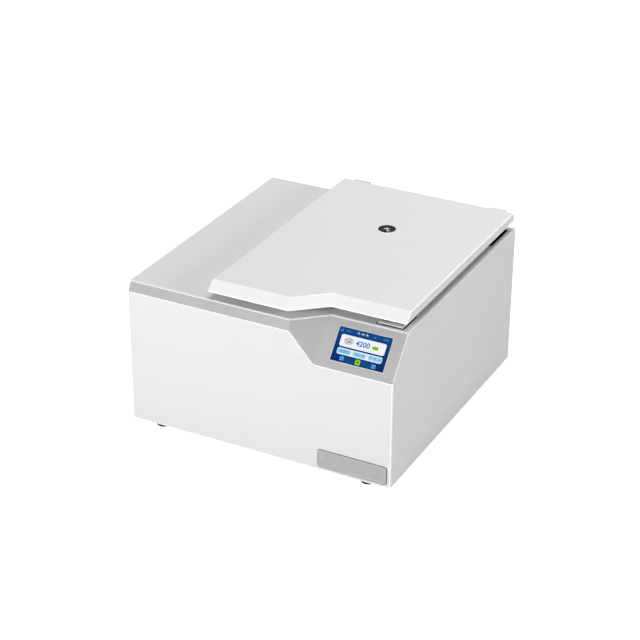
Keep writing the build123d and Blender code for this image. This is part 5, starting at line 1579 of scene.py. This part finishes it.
@dataclass(frozen=True)
class LidLiner:
    """The screws that hold the lid's insulating plug, and its two moulded beads.

    Args:
        screws: how many screws there are.
        screw_reach: how far they stand from the plug's middle.
        screw_radius: a screw head's radius.
        bead_radii: the beads' radii.
        bead: half a bead's width, and how far it stands out.
        sink: how far a bead goes into the plug.
    """

    screws: int = 8
    screw_reach: float = 148.0 * MM
    screw_radius: float = 5.0 * MM
    bead_radii: Point = (60.0 * MM, 128.0 * MM)
    bead: Point = (2.0 * MM, 1.1 * MM)
    sink: float = 0.2 * MM

    def build(self) -> None:
        """Makes the screws and the beads under the plug."""
        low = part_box("lid_plug")[0][2]
        head = self.screw_radius
        section = ((0.0, 0.4), (1.0, 0.4), (1.0, -0.4), (0.7, -1.3), (0.4, -1.6), (0.4, -0.8), (0.0, -0.8))
        unit = Solid().turned([(head * r, z * MM) for r, z in section], (0.0, 0.0), 28)
        place = Matrix.Translation((SPINDLE[0], SPINDLE[1], low)) @ Matrix.Rotation(math.pi / 8, 4, "Z")
        REPEATER.lay(
            Layout.RING, "plug_screws", unit, Kit("lid", "steel", STEEL), place,
            Count=self.screws, Radius=self.screw_reach,
        )
        beads = Solid()
        for radius in self.bead_radii:
            steps = [math.pi * index / 8 for index in range(9)]
            half, rise = self.bead
            arch = [(radius + half * math.cos(a), low + self.sink - rise * math.sin(a)) for a in steps]
            beads.turned(arch, SPINDLE[:2], 128)
        Kit("lid", "plug_grey", PLUG).add("plug_beads", beads)


# Camera and studio

@dataclass(frozen=True)
class PhotoCamera:
    """The camera that took the photograph.

    Args:
        target: the point it looks at.
        azimuth: its turn round the object, in degrees.
        elevation: its height above the horizon, in degrees.
        roll: its turn about its own axis, in degrees.
        distance: how far it stands from the target.
        lens: its focal length in millimetres.
        sensor: its sensor's width in millimetres.
    """

    target: tuple[float, float, float] = (-0.0241, 0.0085, 0.162)
    azimuth: float = 27.294
    elevation: float = 27.578
    roll: float = 0.335
    distance: float = 3.951
    lens: float = 103.15
    sensor: float = 36.0

    def place(self) -> bpy.types.Object:
        """Makes the scene's camera.

        Returns:
            The camera's object.
        """
        turn, rise = math.radians(self.azimuth), math.radians(self.elevation)
        back = Vector((math.sin(turn) * math.cos(rise), -math.cos(turn) * math.cos(rise), math.sin(rise)))
        right = Vector((0, 0, 1)).cross(back).normalized()
        up = back.cross(right)
        roll = math.radians(self.roll)
        rolled_right = right * math.cos(roll) + up * math.sin(roll)
        rolled_up = up * math.cos(roll) - right * math.sin(roll)
        data = bpy.data.cameras.new("photo_camera")
        data.lens = self.lens
        data.sensor_width = self.sensor
        data.clip_end = 100.0
        camera = bpy.data.objects.new("photo_camera", data)
        turned = Matrix((rolled_right, rolled_up, back)).transposed().to_4x4()
        camera.matrix_world = Matrix.Translation(Vector(self.target) + back * self.distance) @ turned
        bpy.context.scene.collection.objects.link(camera)
        bpy.context.scene.camera = camera
        return camera


@dataclass(frozen=True)
class SoftLight:
    """A soft rectangular studio light.

    Args:
        name: its name.
        place: where it stands.
        size: its width and height.
        power: its power in watts.
        aim: the point it shines at.
    """

    name: str
    place: tuple[float, float, float]
    size: tuple[float, float]
    power: float
    aim: tuple[float, float, float] = (0.0, 0.0, 0.15)

    def hang(self) -> bpy.types.Object:
        """Makes the light.

        Returns:
            The light's object.
        """
        data = bpy.data.lights.new(self.name, "AREA")
        data.shape = "RECTANGLE"
        data.size, data.size_y = self.size
        data.energy = self.power
        lamp = bpy.data.objects.new(self.name, data)
        away = Vector(self.place) - Vector(self.aim)
        lamp.rotation_euler = away.to_track_quat("Z", "Y").to_euler()
        lamp.location = self.place
        bpy.context.scene.collection.objects.link(lamp)
        return lamp


@dataclass(frozen=True)
class Studio:
    """A plain white studio.

    Args:
        floor_half: half the floor's side.
        floor_cloud: the size and strength of the floor's faint mottle.
        floor_color: the floor's linear colour.
        floor_glow: how much lighter the camera sees the floor, which keeps it near white.
        sky: the strength of the even light from all round.
        lights: its soft lights.
    """

    floor_half: float = 9.0
    floor_cloud: Point = (0.6, 0.05)
    floor_color: tuple[float, float, float] = (0.50, 0.50, 0.50)
    floor_glow: float = 1.0
    sky: float = 0.18
    lights: tuple[SoftLight, ...] = (
        SoftLight("key_light", (-0.8, -4.1, 1.6), (1.7, 1.5), 135.0),
        SoftLight("top_light", (0.2, 1.4, 3.1), (1.6, 1.6), 59.0),
        SoftLight("side_light", (3.4, -0.2, 1.4), (0.9, 0.7), 47.0),
    )

    def build(self) -> None:
        """Makes the floor, the lights and the even light."""
        half = self.floor_half
        mesh = bpy.data.meshes.new("studio_floor")
        corners = [(-half, -half, 0), (half, -half, 0), (half, half, 0), (-half, half, 0)]
        mesh.from_pydata(corners, [], [(0, 1, 2, 3)])
        floor = bpy.data.objects.new("studio_floor", mesh)
        bpy.context.scene.collection.objects.link(floor)
        material = bpy.data.materials.new("studio_floor")
        material.use_nodes = True
        sketch = ShaderSketch(material.node_tree)
        shader = material.node_tree.nodes["Principled BSDF"]
        where = sketch.node("ShaderNodeTexCoord").outputs["Object"]
        size, strength = self.floor_cloud
        tone = sketch.math("MULTIPLY", sketch.noise(where, size, 2.0), strength)
        sketch.feed(shader.inputs["Base Color"], sketch.mix(tone, self.floor_color, (1.0, 1.0, 1.0)))
        shader.inputs["Roughness"].default_value = 0.7
        shader.inputs["Emission Color"].default_value = (1.0, 1.0, 1.0, 1.0)
        seen = sketch.node("ShaderNodeLightPath").outputs["Is Camera Ray"]
        sketch.feed(shader.inputs["Emission Strength"], sketch.math("MULTIPLY", seen, self.floor_glow))
        mesh.materials.append(material)
        world = bpy.data.worlds.new("studio")
        world.use_nodes = True
        background = world.node_tree.nodes["Background"]
        background.inputs["Color"].default_value = (1.0, 1.0, 1.0, 1.0)
        background.inputs["Strength"].default_value = self.sky
        bpy.context.scene.world = world
        for light in self.lights:
            light.hang()
        bpy.context.scene.view_settings.view_transform = "Standard"


DETAILS = (
    Display(),
    LockMat(),
    InspectionPort(),
    SlotTrim(),
    BarePlate(),
    VentLips(
        "left_side_panel", (-1.0, 0.0, 0.0), (-300.0 * MM, -158.7 * MM, 125.0 * MM),
        (70.0 * MM, 4.0 * MM), (82.0 * MM, 11.0 * MM), (2, 16),
    ),
    VentLips(
        "rear_panel", (0.0, 1.0, 0.0), (-213.7 * MM, 302.25 * MM, 220.0 * MM),
        (130.0 * MM, 4.0 * MM), (140.0 * MM, 11.0 * MM), (1, 12),
    ),
    Signs(),
    LidLiner(),
)


def main() -> None:
    """Builds the scene in order and logs each step."""
    logging.basicConfig(level=logging.INFO, format="%(name)s: %(message)s")
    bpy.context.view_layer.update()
    PhotoCamera().place()
    Studio().build()
    LOG.info("camera and studio placed")
    dress_nodes()
    LOG.info("finished %d nodes of the packed model", len(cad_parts))
    for maker in DETAILS:
        maker.build()
        LOG.info("built %s", type(maker).__name__)


if __name__ == "__main__":
    main()
